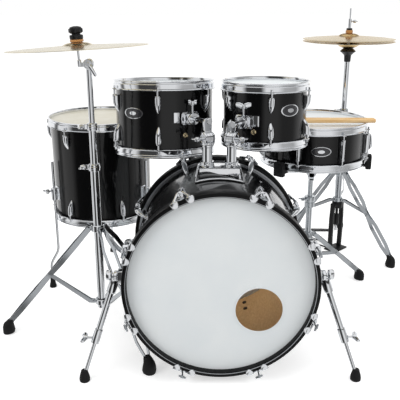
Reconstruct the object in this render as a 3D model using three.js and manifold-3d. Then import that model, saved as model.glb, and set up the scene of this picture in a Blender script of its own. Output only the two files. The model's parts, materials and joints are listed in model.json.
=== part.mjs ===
// Acoustic drum kit: 20 inch bass drum with two hung toms, floor tom, snare drum, hi-hat and crash cymbal.
// Millimetres, +Z up, +X to the right as seen from the audience, +Y away from the audience.
// The kit is laid out from the floor below the middle of the bass drum's front hoop, and then moved
// so that the origin is on the floor below the middle of its bounding box.
import * as THREE from "three";
import { mergeVertices } from "three/addons/utils/BufferGeometryUtils.js";
import Module from "manifold-3d";

const wasm = await Module();
wasm.setup();

// ---------------------------------------------------------------- driving dimensions
const INCH = 25.4;
const DEG = Math.PI / 180;
const GAP = 0.3; // running gap between seated faces

// How finely round things are faceted.
const ROD_SIDES = 5;
const TUBE_SIDES = 8;
const KNOB_SIDES = 10;

// Drum construction shared by every drum.
const FILM = 0.6; // thickness of a drum head's film
const RING_HEIGHT = 9; // the flesh ring, from the film down
const RING_WIDTH = 4.4;
const RING_PLAY = 0.6; // the ring's play round the shell
const HOOP_STEEL = 2; // wall of a triple-flanged hoop
const HOOP_BORE = 2; // the hoop's inner wall outside the shell's face
const HOOP_RISE = 12.5; // hoop above the shell's edge
const HOOP_SKIRT = 15; // hoop below the shell's edge
const HOOP_LIP = 5; // how far the top flange turns out
const EAR_WIDTH = 16;
const EAR_THICK = 2.5;
const ROD_RADIUS = 3;
const ROD_OFFSET = 13; // tension rod's axis from the shell's face
const LUG_WIDTH = 19;
const LUG_SINK = 3; // how far a lug or bracket reaches into the shell
const LUG_PROUD = 19;
const WING_SHANK = 3.5;
const HINGE_PIN = 3; // footboard hinge pins
const EAR = 4; // the hinge ears beside a footboard

const bass = {
  radius: 10 * INCH, depth: 16 * INCH, wall: 7.5, sides: 32, lugTurn: 22.5 * DEG, ringWidth: 6,
  hoopOuter: 272, hoopWidth: 40, hoopLip: 258, frontHeight: 294, tilt: 1.2 * DEG,
  lugs: 8, lugLength: 48, lugInset: 46,
  claw: 66, prong: 21, clawThick: 4, clawGrip: 9, rodRadius: 282, handle: 34,
  portRadius: 2.5 * INCH, portX: 104, portZ: -71, ventShare: 0.5,
};
bass.headReveal = 21.5; // the hoop's front face ahead of the shell's edge
bass.length = bass.depth + 2 * bass.headReveal;

const rackLeft = {
  name: "left_tom", radius: 6 * INCH, depth: 8 * INCH, wall: 6, sides: 20, lugs: 6, lugLength: 52,
  lugGap: 16, lugTurn: -93.6 * DEG,
};
const rackRight = {
  name: "right_tom", radius: 5 * INCH, depth: 6.75 * INCH, wall: 6, sides: 18, lugs: 6, lugLength: 46,
  lugGap: 12, lugTurn: -88 * DEG,
};
const floorTom = {
  name: "floor_tom", radius: 7 * INCH, depth: 13.7 * INCH, wall: 6, sides: 24, lugs: 6, lugLength: 52,
  lugGap: 14, lugTurn: -1 * DEG, x: -421, y: 745, top: 634,
};
const snare = {
  name: "snare", radius: 7 * INCH, depth: 5 * INCH, wall: 5, sides: 24, lugs: 8, lugGap: 12,
  lugTurn: -69.2 * DEG, x: 347, y: 654, top: 638,
};

const snareWires = { length: 290, width: 34, thick: 1.6 };

// Tom holder: a saddle on the bass drum with two posts, each with a ratchet head and an arm.
const saddle = { width: 140, topWidth: 122, depth: 60, rise: 37, y: 221, socket: 19, socketRise: 13 };
const post = { radius: 14.3, wall: 1.8, halfSpacing: 35, inside: 75, top: 346 };
const ratchet = {
  pivot: 371, radius: 19.5, hubWidth: 20, cheek: 6.5, floor: 4, plug: 30, bolt: 3.5, boltReach: 26,
  paddle: 10, paddleWidth: 28, rod: 5.2, rodOffset: -5.8,
};
const tomBracket = { width: 62, height: 40, thick: 8, clamp: 20, socket: 32, wing: 30 };
const hangLeft = {
  side: -1, rise: 53, turn: 122 * DEG, reach: 107.2, lift: 10, tilt: 3 * DEG, roll: 2 * DEG,
};
const hangRight = {
  side: 1, rise: 45, turn: 57.6 * DEG, reach: 67.5, lift: -7, tilt: 0.7 * DEG, roll: -0.5 * DEG,
};

// Floor-tom legs.
const floorLeg = {
  rod: 5, standOff: 15, bracketDrop: 270, topDrop: 144, kneeHeight: 95, kickOut: 32, turn: 33 * DEG,
};

// Spurs at the front of the bass drum.
const spur = {
  y: 110, drop: 9, out: 300, footX: 388, footY: 15, tube: 9.5, wall: 2, rod: 6, share: 0.62, bolt: 4.2,
  boltReach: 21, seatWidth: 34, seatHeight: 52, wing: 30,
};

// Stands: places on the floor, tube sizes and clamp heights.
const strip = { wide: 16, thick: 2.5, apart: 9, toe: 7 };
const cymbalStand = {
  footX: -16.4, footY: -47.3, radius: 315, turn: 184 * DEG, legTop: 358, legFoot: 104, base: 11, middle: 8.9,
  upper: 7.2, clampLow: 565, clampHigh: 690, tilter: 862, rodX: -25, cymbal: 905, lean: -3.4 * DEG,
  inBase: 230, inMiddle: 130,
};
// Its rear foot stands this far from the foot of the floor tom's nearest leg.
const rearFoot = cymbalStand.turn + (4 * Math.PI) / 3;
const nearLeg = floorTom.lugTurn + floorLeg.turn + (5 * Math.PI) / 3;
const nearFoot = floorTom.radius + floorLeg.standOff + floorLeg.kickOut;
cymbalStand.x = floorTom.x + nearFoot * Math.cos(nearLeg) + cymbalStand.footX;
cymbalStand.x -= cymbalStand.radius * Math.cos(rearFoot);
cymbalStand.y = floorTom.y + nearFoot * Math.sin(nearLeg) + cymbalStand.footY;
cymbalStand.y -= cymbalStand.radius * Math.sin(rearFoot);
const crash = { radius: 8 * INCH, bell: 55, bow: 13, dome: 14, thick: 1.4, hole: 6 };
const hat = { radius: 7 * INCH, bell: 48, bow: 10, dome: 15, thick: 1.6, hole: 6 };
const hiHat = {
  x: 529, y: 995, radius: 278, turn: -46 * DEG, legTop: 345, legFoot: 226, base: 11, upper: 8.9,
  clamp: 611, edge: 876, rod: 3, rodTop: 999, openGap: 12, board: 134 * DEG, boardLength: 232,
};
const snareStand = {
  radius: 225, turn: 8 * DEG, legTop: 200, legFoot: 118, base: 11, neck: 8.9, clamp: 350, hub: 440,
  armTurn: -13 * DEG,
};

// Kick pedal behind the bass drum.
const pedal = {
  width: 70, plate: 4, length: 300, postGap: 84, axle: 100, board: 250, rise: 62, beater: 232,
  heelWidth: 60, shaft: 4.2, rest: 40 * DEG,
};

const stick = { length: 406, radius: 7.2, tip: 5, taper: 70 };

// ---------------------------------------------------------------- materials
function finish(color, roughness, metalness) {
  return () => new THREE.MeshStandardMaterial({ color, roughness, metalness });
}
const lacquer = finish(0x0b0b0d, 0.12, 0);
const chrome = finish(0xd7dade, 0.14, 1);
const brass = finish(0xd9b36a, 0.3, 1);
const film = finish(0xf1efe9, 0.5, 0);
const blackMetal = finish(0x1a1a1c, 0.45, 0.6);
const hickory = finish(0xe3c08d, 0.55, 0);

// ---------------------------------------------------------------- solids
const point = (x, y, z) => new THREE.Vector3(x, y, z);

function signedVolume(position, index) {
  let sum = 0;
  const a = new THREE.Vector3();
  const b = new THREE.Vector3();
  const c = new THREE.Vector3();
  for (let i = 0; i < index.length; i += 3) {
    a.fromArray(position, 3 * index[i]);
    b.fromArray(position, 3 * index[i + 1]);
    c.fromArray(position, 3 * index[i + 2]);
    sum += a.dot(b.cross(c));
  }
  return sum / 6;
}

// A closed solid from a closed geometry, faces turned outwards.
function solid(geometry) {
  const bare = geometry.index ? geometry.toNonIndexed() : geometry.clone();
  bare.deleteAttribute("normal");
  bare.deleteAttribute("uv");
  const merged = mergeVertices(bare, 1e-4);
  const position = new Float32Array(merged.getAttribute("position").array);
  const kept = [];
  const all = merged.index.array;
  for (let i = 0; i < all.length; i += 3) {
    const [a, b, c] = [all[i], all[i + 1], all[i + 2]];
    if (a !== b && b !== c && c !== a) kept.push(a, b, c);
  }
  if (signedVolume(position, kept) < 0) {
    for (let i = 0; i < kept.length; i += 3) {
      [kept[i + 1], kept[i + 2]] = [kept[i + 2], kept[i + 1]];
    }
  }
  const mesh = new wasm.Mesh({ numProp: 3, vertProperties: position, triVerts: new Uint32Array(kept) });
  return new wasm.Manifold(mesh);
}

function toGeometry(manifold) {
  const mesh = manifold.getMesh();
  const geometry = new THREE.BufferGeometry();
  geometry.setAttribute("position", new THREE.BufferAttribute(new Float32Array(mesh.vertProperties), 3));
  geometry.setIndex(new THREE.BufferAttribute(new Uint32Array(mesh.triVerts), 1));
  return geometry;
}

function join(...geometries) {
  const solids = geometries.flat().map(solid);
  return toGeometry(solids.reduce((whole, next) => whole.add(next)));
}

function cut(geometry, ...tools) {
  const solids = tools.flat().map(solid);
  return toGeometry(solids.reduce((whole, tool) => whole.subtract(tool), solid(geometry)));
}

// What two solids have in common.
const common = (one, other) => toGeometry(solid(one).intersect(solid(other)));

// A profile of [radius, height] points turned round the Z axis, with a flat facing the given angle.
function turned(profile, sides, flatAt = 0) {
  const points = profile.map(([r, z]) => new THREE.Vector2(r, z));
  const onAxis = profile[0][0] === 0 && profile.at(-1)[0] === 0;
  if (!onAxis) points.push(points[0].clone());
  const start = flatAt + Math.PI / sides + Math.PI / 2;
  return new THREE.LatheGeometry(points, sides, start).rotateX(Math.PI / 2);
}

function block(width, depth, height, x = 0, y = 0, z = 0) {
  return new THREE.BoxGeometry(width, depth, height).translate(x, y, z);
}

// Turns a geometry built along +Z so that it runs from one point towards another.
function along(geometry, from, to) {
  const direction = to.clone().sub(from).normalize();
  const turn = new THREE.Quaternion().setFromUnitVectors(point(0, 0, 1), direction);
  return geometry.applyQuaternion(turn).translate(from.x, from.y, from.z);
}

function rod(from, to, radius, sides = ROD_SIDES, endRadius = radius) {
  const length = from.distanceTo(to);
  const geometry = new THREE.CylinderGeometry(endRadius, radius, length, sides);
  return along(geometry.rotateX(Math.PI / 2).translate(0, 0, length / 2), from, to);
}

function pipe(from, to, outer, inner, sides = TUBE_SIDES) {
  const length = from.distanceTo(to);
  const wall = [[inner, 0], [outer, 0], [outer, length], [inner, length]];
  return along(turned(wall, sides, -Math.PI / sides), from, to);
}

// A flat bar from one point to another, its broad face turned to the given normal.
function flatBar(from, to, wide, thick, normal) {
  const length = from.distanceTo(to);
  const run = to.clone().sub(from).normalize();
  const across = new THREE.Vector3().crossVectors(normal, run).normalize();
  const face = new THREE.Vector3().crossVectors(run, across);
  const frame = new THREE.Matrix4().makeBasis(across, face, run).setPosition(from);
  return new THREE.BoxGeometry(wide, thick, length).translate(0, 0, length / 2).applyMatrix4(frame);
}

// An outline of [x, y] points pushed along +Z, centred on Z.
function slab(outline, thick) {
  const shape = new THREE.Shape(outline.map(([x, y]) => new THREE.Vector2(x, y)));
  const extruded = new THREE.ExtrudeGeometry(shape, { depth: thick, bevelEnabled: false });
  return extruded.translate(0, 0, -thick / 2);
}

function piece(parent, name, geometry, material) {
  const mesh = new THREE.Mesh(join(geometry), material());
  mesh.name = name;
  parent.add(mesh);
  return mesh;
}

function place(parent, x, y, z) {
  const group = new THREE.Group();
  group.position.set(x, y, z);
  parent.add(group);
  return group;
}

// A faceted bore that a round part of the given radius can turn in.
const turningBore = (radius, sides) => (radius + GAP) / Math.cos(Math.PI / sides);

// How near the axis the middle of a faceted ring's flats lies.
const flatOf = (radius, sides) => radius * Math.cos(Math.PI / sides);

// The angles of a ring of equal parts.
function ring(count, start = 0) {
  return Array.from({ length: count }, (_, k) => start + (k * 2 * Math.PI) / count);
}

// A wing screw: a shank with two wings, from its seat outwards.
function wingScrew(from, to, span = 15) {
  const run = to.clone().sub(from).normalize();
  const across = Math.abs(run.z) > 0.7 ? point(1, 0, 0) : point(0, 0, 1);
  const wingAt = to.clone().addScaledVector(run, -4);
  const half = across.clone().multiplyScalar(span);
  const normal = new THREE.Vector3().crossVectors(run, across);
  const wing = flatBar(wingAt.clone().sub(half), wingAt.clone().add(half), 9, 3.5, normal);
  return [rod(from, to, WING_SHANK, 4), wing];
}

// ---------------------------------------------------------------- drums
// The shell is a ply tube whose edges are cut at 45 degrees, so that the head bears on the outer ply.
function shellTube(drum) {
  const end = drum.depth / 2;
  const outer = drum.radius;
  const inner = outer - drum.wall;
  return turned([
    [inner, drum.wall - end], [outer, -end], [outer, end], [inner, end - drum.wall],
  ], drum.sides, drum.lugTurn);
}

// A head is a film on a flesh ring, which the hoop pulls down round the shell.
function headCap(drum, side) {
  const edge = drum.depth / 2;
  const at = (r, z) => [r, side * (edge + z)];
  const inner = drum.radius + RING_PLAY;
  const outer = inner + (drum.ringWidth ?? RING_WIDTH);
  return turned([
    at(0, GAP + FILM), at(outer, GAP + FILM), at(outer, -RING_HEIGHT), at(inner, -RING_HEIGHT),
    at(inner, GAP), at(0, GAP),
  ], drum.sides, drum.lugTurn);
}

// A teardrop lug: broad and tall where the rod screws in, drawn out to a blunt point at its far end.
function lugCasting(length, proud) {
  const half = LUG_WIDTH / 2;
  const sideView = [
    [-LUG_SINK, -length], [proud * 0.3, -length * 0.95], [proud, -length * 0.4], [proud, 0],
    [-LUG_SINK, 0],
  ];
  const frontView = [
    [-half, 0], [-half, -length * 0.45], [-half * 0.35, -length], [half * 0.35, -length],
    [half, -length * 0.45], [half, 0],
  ];
  const front = slab(frontView, 4 * proud).rotateX(Math.PI / 2).rotateZ(Math.PI / 2);
  return common(slab(sideView, 2 * LUG_WIDTH).rotateX(Math.PI / 2), front);
}

// Steel hoop with its three flanges, an ear at each rod and the rods that hang from them.
function steelHoop(drum, side, rodLength) {
  const edge = drum.depth / 2;
  const at = (r, z) => [drum.radius + r, side * (edge + z)];
  const wallOut = HOOP_BORE + HOOP_STEEL;
  const skirtIn = RING_PLAY + RING_WIDTH + GAP;
  const skirtOut = skirtIn + HOOP_STEEL;
  const step = FILM + GAP * 2;
  const lip = wallOut + HOOP_LIP;
  const hoop = turned([
    at(HOOP_BORE, HOOP_RISE), at(lip, HOOP_RISE), at(wallOut, HOOP_RISE - HOOP_STEEL - 1),
    at(wallOut, step + HOOP_STEEL), at(skirtOut, step + HOOP_STEEL), at(skirtOut, -HOOP_SKIRT),
    at(skirtIn, -HOOP_SKIRT), at(skirtIn, step), at(HOOP_BORE, step),
  ], drum.sides, drum.lugTurn);
  const earZ = side * (edge - HOOP_SKIRT + EAR_THICK / 2);
  const earIn = flatOf(drum.radius + skirtIn + HOOP_STEEL / 2, drum.sides);
  const earOut = drum.radius + ROD_OFFSET + ROD_RADIUS * 2;
  const parts = ring(drum.lugs, drum.lugTurn).flatMap((angle) => {
    const axis = drum.radius + ROD_OFFSET;
    const x = axis * Math.cos(angle);
    const y = axis * Math.sin(angle);
    const ear = block(earOut - earIn, EAR_WIDTH, EAR_THICK, (earIn + earOut) / 2, 0, earZ);
    const screw = rod(
      point(x, y, side * (edge - HOOP_SKIRT + EAR_THICK / 2)),
      point(x, y, side * (edge - HOOP_SKIRT - rodLength + GAP)),
      ROD_RADIUS,
    );
    return [ear.rotateZ(angle), screw];
  });
  return join(hoop, parts);
}

function placeLug(casting, angle, radius, z, side) {
  const turnedOver = side < 0 ? casting.rotateX(Math.PI) : casting;
  return turnedOver.translate(radius, 0, z).rotateZ(angle);
}

// A tom-like drum: shell with its lugs, two hoops with rods, two heads.
function drumNodes(parent, drum, extras = [], holes = []) {
  const edge = drum.depth / 2;
  const rodLength = drum.lugGap;
  const lugTop = edge - HOOP_SKIRT - rodLength;
  const castings = ring(drum.lugs, drum.lugTurn).flatMap((angle) => {
    if (!drum.lugLength) {
      const waist = LUG_PROUD - 6;
      const bridge = [
        [-LUG_SINK, -lugTop], [LUG_PROUD, -lugTop], [waist, -lugTop / 3], [waist, lugTop / 3],
        [LUG_PROUD, lugTop], [-LUG_SINK, lugTop],
      ];
      return [placeLug(slab(bridge, LUG_WIDTH).rotateX(Math.PI / 2), angle, drum.radius, 0, 1)];
    }
    return [1, -1].map((side) => {
      return placeLug(lugCasting(drum.lugLength, LUG_PROUD), angle, drum.radius, side * lugTop, side);
    });
  });
  const shell = join(shellTube(drum), castings, extras);
  piece(parent, `${drum.name}_shell`, holes.length ? cut(shell, holes) : shell, lacquer);
  const ends = [[1, "top_hoop", "batter_head"], [-1, "bottom_hoop", "resonant_head"]];
  for (const [side, hoopName, headName] of ends) {
    piece(parent, `${drum.name}_${hoopName}`, steelHoop(drum, side, rodLength), chrome);
    piece(parent, `${drum.name}_${headName}`, headCap(drum, side), film);
  }
}

// ---------------------------------------------------------------- bass drum
// Its parts are turned about Z and then laid down, so that +Z points to the audience.
const layDown = (geometry) => geometry.rotateX(Math.PI / 2).translate(0, bass.length / 2, 0);

// A world point from the bass drum's own frame, which dips to the rear.
function bassToWorld(x, y, z) {
  return point(x, y, z).applyAxisAngle(point(1, 0, 0), -bass.tilt).add(point(0, 0, bass.frontHeight));
}

function bassHoop(side) {
  const edge = bass.depth / 2;
  const face = edge + bass.headReveal;
  const step = edge + FILM + GAP * 2;
  const bandIn = bass.radius + RING_PLAY + bass.ringWidth + GAP;
  const at = (r, z) => [r, side * z];
  const hoop = turned([
    at(bass.hoopLip, face), at(bass.hoopOuter, face), at(bass.hoopOuter, face - bass.hoopWidth),
    at(bandIn, face - bass.hoopWidth), at(bandIn, step), at(bass.hoopLip, step),
  ], bass.sides, bass.lugTurn);
  const clawIn = bass.hoopOuter + GAP;
  const clawOut = clawIn + bass.clawThick;
  const lugTop = edge - bass.lugInset;
  const grip = bass.hoopOuter - bass.clawGrip;
  const seat = bass.rodRadius + 7;
  const hook = [
    [grip, face - 2], [grip, face + bass.clawThick], [clawOut, face + bass.clawThick],
    [clawOut + 1, edge + 4], [seat, edge - 9], [bass.hoopOuter - 4, edge - 9],
  ];
  const claws = ring(bass.lugs, bass.lugTurn).flatMap((angle) => {
    const apart = (bass.claw - bass.prong) / 2;
    const prongs = [-apart, apart].map((y) => {
      return slab(hook, bass.prong).rotateX(Math.PI / 2).translate(0, y, 0);
    });
    const bridge = block(14, bass.claw - bass.prong, 6, bass.rodRadius, 0, edge - 6);
    const handle = block(6, bass.handle, 6, bass.rodRadius, 0, face + 15);
    const onRod = (z) => point(bass.rodRadius, 0, z);
    const screw = rod(onRod(lugTop + GAP), onRod(face + 14), ROD_RADIUS);
    const parts = [...prongs, bridge, handle, screw];
    return parts.map((part) => (side < 0 ? part.rotateX(Math.PI) : part).rotateZ(angle));
  });
  return layDown(join(hoop, claws));
}

function bassDrum(parent) {
  const edge = bass.depth / 2;
  const lugTop = edge - bass.lugInset;
  const proud = bass.rodRadius - bass.radius + ROD_RADIUS + 2;
  const lugs = ring(bass.lugs, bass.lugTurn).flatMap((angle) => [1, -1].map((side) => {
    return placeLug(lugCasting(bass.lugLength, proud), angle, bass.radius, side * lugTop, side);
  }));
  const tube = layDown(join(shellTube(bass), lugs));
  const brackets = [-1, 1].flatMap((side) => {
    const inner = bass.radius - 3;
    const outer = spur.out - 7;
    const middle = side * (inner + outer) / 2;
    const seat = block(outer - inner, spur.seatWidth, spur.seatHeight, middle, spur.y, -spur.drop);
    const at = (x) => point(side * x, spur.y, -spur.drop);
    const bolt = rod(at(outer - 2), at(spur.out + spur.boltReach), spur.bolt);
    const wing = block(4, 8, spur.wing, side * (spur.out + spur.boltReach - 1), spur.y, -spur.drop);
    return [seat, bolt, wing];
  });
  const postHoles = [-1, 1].map((side) => {
    const at = (z) => point(side * post.halfSpacing, saddle.y, z);
    return rod(at(bass.radius * 0.85), at(bass.radius + 5), post.radius + 1.5, TUBE_SIDES);
  });
  const ventY = bass.length * bass.ventShare;
  const vent = rod(point(-bass.radius + 20, ventY, 0), point(-bass.radius - 10, ventY, 0), 5);
  piece(parent, "bass_shell", cut(join(tube, brackets), postHoles, vent), lacquer);
  const port = rod(
    point(bass.portX, bass.portZ, edge - 5), point(bass.portX, bass.portZ, edge + 5), bass.portRadius, 20,
  );
  piece(parent, "bass_front_head", layDown(cut(headCap(bass, 1), port)), film);
  piece(parent, "bass_batter_head", layDown(headCap(bass, -1)), film);
  piece(parent, "bass_front_hoop", bassHoop(1), lacquer);
  piece(parent, "bass_rear_hoop", bassHoop(-1), lacquer);
}

// The saddle is a casting that fits the shell, with a clamping socket for each post.
function tomSaddle(parent) {
  const seat = bass.radius + GAP;
  const root = seat - 4;
  const half = saddle.width / 2;
  const top = bass.radius + saddle.rise;
  const onShell = (x) => [x, Math.sqrt(root * root - x * x)];
  const rim = onShell(half)[1] + 10;
  const flat = saddle.topWidth / 2;
  const arch = [
    onShell(-half), [-half + 2, rim], [-flat, top - 6], [-flat + 7, top],
    [flat - 7, top], [flat, top - 6], [half - 2, rim], onShell(half),
  ];
  const around = [[0, -saddle.depth], [seat, -saddle.depth], [seat, saddle.depth], [0, saddle.depth]];
  const shellSide = layDown(turned(around, bass.sides, bass.lugTurn));
  const onPost = (side, z, forward = 0) => point(side * post.halfSpacing, saddle.y - forward, z);
  const sockets = [-1, 1].flatMap((side) => [
    rod(onPost(side, bass.radius - 6), onPost(side, top + saddle.socketRise), saddle.socket, KNOB_SIDES),
    ...wingScrew(onPost(side, top + 7, 15), onPost(side, top + 7, 38), 12),
  ]);
  const body = join(slab(arch, saddle.depth).rotateX(Math.PI / 2).translate(0, saddle.y, 0), sockets);
  const bores = [-1, 1].map((side) => {
    return rod(onPost(side, 0), onPost(side, top + 40), post.radius + GAP, TUBE_SIDES);
  });
  piece(parent, "tom_saddle", cut(body, shellSide, bores), chrome);
}

// Post, ratchet head, arm and tom: each hangs from the one before.
function hungTom(parent, drum, hang) {
  const side = hang.side < 0 ? "left" : "right";
  const base = place(parent, hang.side * post.halfSpacing, saddle.y, 0);
  const postFoot = point(0, 0, bass.radius - post.inside);
  const tube = pipe(postFoot, point(0, 0, post.top), post.radius, post.radius - post.wall);
  piece(base, `${side}_tom_post`, tube, chrome);

  // The head turns on a plug in the post, and its two cheeks hold the hub of the arm's paddle.
  const head = place(base, 0, 0, 0);
  head.rotation.z = hang.turn;
  head.name = `${side}_tom_swivel`;
  const r = ratchet;
  const onPost = (z) => point(0, 0, z);
  const onPivot = (y, z = r.pivot) => point(0, y, z);
  const halfHub = r.hubWidth / 2;
  const outside = halfHub + GAP + r.cheek;
  const seat = post.top + GAP;
  const wingSide = -hang.side;
  const plugRadius = flatOf(post.radius - post.wall, TUBE_SIDES) - GAP;
  const forks = [
    rod(onPost(post.top - r.plug), onPost(seat + 1), plugRadius, TUBE_SIDES),
    rod(onPost(seat), onPost(seat + r.floor + 1), post.radius + 2, KNOB_SIDES),
    block(2 * post.radius, 2 * outside, r.pivot - seat - 1, 0, 0, (r.pivot + seat + 1) / 2),
    rod(onPivot(-outside), onPivot(outside), r.radius, KNOB_SIDES + 2),
  ];
  const slot = rod(onPivot(-halfHub - GAP), onPivot(halfHub + GAP), r.radius - 1 + GAP, 16);
  const above = block(3 * r.radius, r.hubWidth + 2 * GAP, r.radius + 1, 0, 0, r.pivot + (r.radius + 1) / 2);
  const boltEnds = [-(outside - 2), outside + r.boltReach];
  const bolt = wingScrew(...boltEnds.map((y) => onPivot(wingSide * y)), 17);
  const headSolid = join(cut(join(forks), slot, above), bolt);
  piece(head, `${side}_tom_ratchet_head`, headSolid, chrome);

  const arm = place(head, 0, 0, r.pivot);
  arm.rotation.y = hang.tilt;
  arm.name = `${side}_tom_tilt`;
  const hubRadius = flatOf(r.radius - 1, 16) - GAP;
  const hub = rod(onPivot(-halfHub, 0), onPivot(halfHub, 0), hubRadius, 14);
  const paddleTop = hang.rise + 5;
  const neck = r.radius + 1;
  const wide = r.paddleWidth / 2;
  const paddle = [
    [-halfHub, 0], [halfHub, 0], [halfHub, neck], [wide, neck + 5], [wide, paddleTop - 12],
    [wide - 5, paddleTop - 3], [5 - wide, paddleTop - 3], [-wide, paddleTop - 12], [-wide, neck + 5],
    [-halfHub, neck],
  ];
  const plate = slab(paddle, r.paddle).rotateX(Math.PI / 2).rotateZ(Math.PI / 2);
  const onArm = (x) => point(x, r.rodOffset, hang.rise - ratchet.rod);
  const holder = rod(onArm(0), onArm(hang.reach - 5), r.rod, TUBE_SIDES);
  const boltHole = rod(onPivot(-50, 0), onPivot(50, 0), turningBore(WING_SHANK, 6), 6);
  piece(arm, `${side}_tom_arm`, cut(join(hub, plate, holder), boltHole), chrome);

  const roll = place(arm, hang.reach + drum.radius, r.rodOffset, hang.rise - ratchet.rod);
  roll.rotation.x = hang.roll;
  roll.name = `${side}_tom_slide`;
  const lift = hang.lift - ratchet.rod;
  const tom = place(roll, 0, 0, -lift);
  tom.rotation.z = -hang.turn;
  const toPost = hang.turn + Math.PI;
  const b = tomBracket;
  const outwards = (x, z = 0) => point(drum.radius + x, 0, lift + z);
  const thick = b.thick + LUG_SINK;
  const bracket = [
    block(thick, b.width, b.height, drum.radius + b.thick - thick / 2, 0, lift),
    rod(outwards(-2), outwards(b.socket), b.clamp, KNOB_SIDES),
    ...wingScrew(outwards(b.socket * 0.6, b.clamp - 3), outwards(b.socket * 0.6, b.clamp + b.wing), 15),
  ].map((part) => part.rotateZ(toPost));
  const socketBore = rod(outwards(4), outwards(b.socket + 5), r.rod + GAP, TUBE_SIDES).rotateZ(toPost);
  drumNodes(tom, drum, bracket, [socketBore]);
}

// Spur: a tube that folds on its bracket and a rod that telescopes in it down to a rubber foot.
function spurLeg(parent, side) {
  const name = side < 0 ? "left" : "right";
  const pivot = bassToWorld(side * (spur.out - 1), spur.y, -spur.drop);
  const foot = point(side * spur.footX, spur.footY, 18);
  const run = foot.clone().sub(pivot);
  const on = (share, outwards = 0) => {
    return pivot.clone().addScaledVector(run, share).add(point(side * outwards, 0, 0));
  };
  const disc = rod(on(0, -5), on(0, 5), 17, KNOB_SIDES);
  const collar = rod(on(spur.share - 0.06), on(spur.share), 13, TUBE_SIDES);
  const screw = wingScrew(on(spur.share - 0.03, 11), on(spur.share - 0.03, 32), 13);
  const outer = join(disc, rod(on(0.045), on(spur.share), spur.tube, TUBE_SIDES), collar, screw);
  const bore = rod(on(0.08), on(spur.share + 0.02), spur.rod + GAP, TUBE_SIDES);
  const boltHole = rod(on(0, -12), on(0, 12), turningBore(spur.bolt, KNOB_SIDES), KNOB_SIDES);
  piece(parent, `${name}_spur_tube`, cut(outer, bore, boltHole), chrome);
  const pad = rod(point(foot.x, foot.y, 0), point(foot.x, foot.y, 26), 9, 10, 11);
  piece(parent, `${name}_spur_foot`, join(rod(on(0.3), on(1), spur.rod, TUBE_SIDES), pad), chrome);
}

// ---------------------------------------------------------------- kick pedal
function kickPedal(parent) {
  const hoopFoot = bassToWorld(0, bass.length, -flatOf(bass.hoopOuter, bass.sides));
  const rear = hoopFoot.y + GAP;
  const plateTop = hoopFoot.z - GAP;
  const lip = bass.hoopOuter - bass.hoopLip;
  const jaw = [
    [rear - 36, 0], [rear + 14, 0], [rear + 14, plateTop + lip + 10], [rear - 15, plateTop + lip + 10],
    [rear - 15, plateTop + lip + 3], [rear, plateTop + lip + 3], [rear, plateTop], [rear - 36, plateTop],
  ];
  const heel = rear + pedal.length;
  const axleY = rear + 42;
  const half = pedal.postGap / 2;
  const hingeEnd = (x) => point(x, 0, 0);
  const earAt = pedal.heelWidth / 2 + GAP + EAR / 2;
  const frame = join(
    slab(jaw, 44).rotateX(Math.PI / 2).rotateZ(Math.PI / 2),
    block(pedal.width, heel - rear + 12, pedal.plate, 0, (heel + rear + 12) / 2, pedal.plate / 2),
    block(pedal.width, 26, 16, 0, heel + 3, 8),
    block(2 * half + 12, 26, 10, 0, axleY, 5),
    ...[-1, 1].map((side) => block(8, 18, pedal.axle + 12, side * half, axleY, (pedal.axle + 12) / 2)),
    ...[-1, 1].map((side) => block(EAR, 14, 20, side * earAt, heel - 16, 10)),
  );
  const axleEnd = half + 8;
  const axle = (radius) => rod(hingeEnd(-axleEnd), hingeEnd(axleEnd), radius, 8);
  const axleHoles = axle(turningBore(pedal.shaft, 8)).translate(0, axleY, pedal.axle);
  const hingeAt = point(0, heel - 16, 12);
  const pinHole = rod(hingeEnd(-half), hingeEnd(half), turningBore(HINGE_PIN, 8), 8);
  const pinHoles = pinHole.translate(0, hingeAt.y, hingeAt.z);
  piece(parent, "pedal_frame", cut(frame, axleHoles, pinHoles), blackMetal);

  const board = place(parent, hingeAt.x, hingeAt.y, hingeAt.z);
  board.rotation.x = -Math.asin(pedal.rise / pedal.board);
  board.name = "pedal_board_hinge";
  const waist = -pedal.board * 0.7;
  const back = pedal.heelWidth / 2;
  const tread = [[-22, -pedal.board], [22, -pedal.board], [33, waist], [back, 0], [-back, 0], [-33, waist]];
  const pin = rod(hingeEnd(-back - EAR), hingeEnd(back + EAR), HINGE_PIN, 8);
  piece(board, "pedal_footboard", join(slab(tread, 5), pin), blackMetal);

  const swing = place(parent, 0, axleY, pedal.axle);
  swing.rotation.x = -pedal.rest;
  swing.name = "pedal_beater_hinge";
  const beater = join(
    axle(pedal.shaft),
    rod(point(-12, 0, 0), point(12, 0, 0), 20, 14),
    rod(point(0, 0, 15), point(0, 0, pedal.beater), 3.5),
    rod(point(0, -26, pedal.beater - 20), point(0, 24, pedal.beater - 20), 24, 12),
  );
  piece(swing, "pedal_beater", beater, chrome);
}

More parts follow.
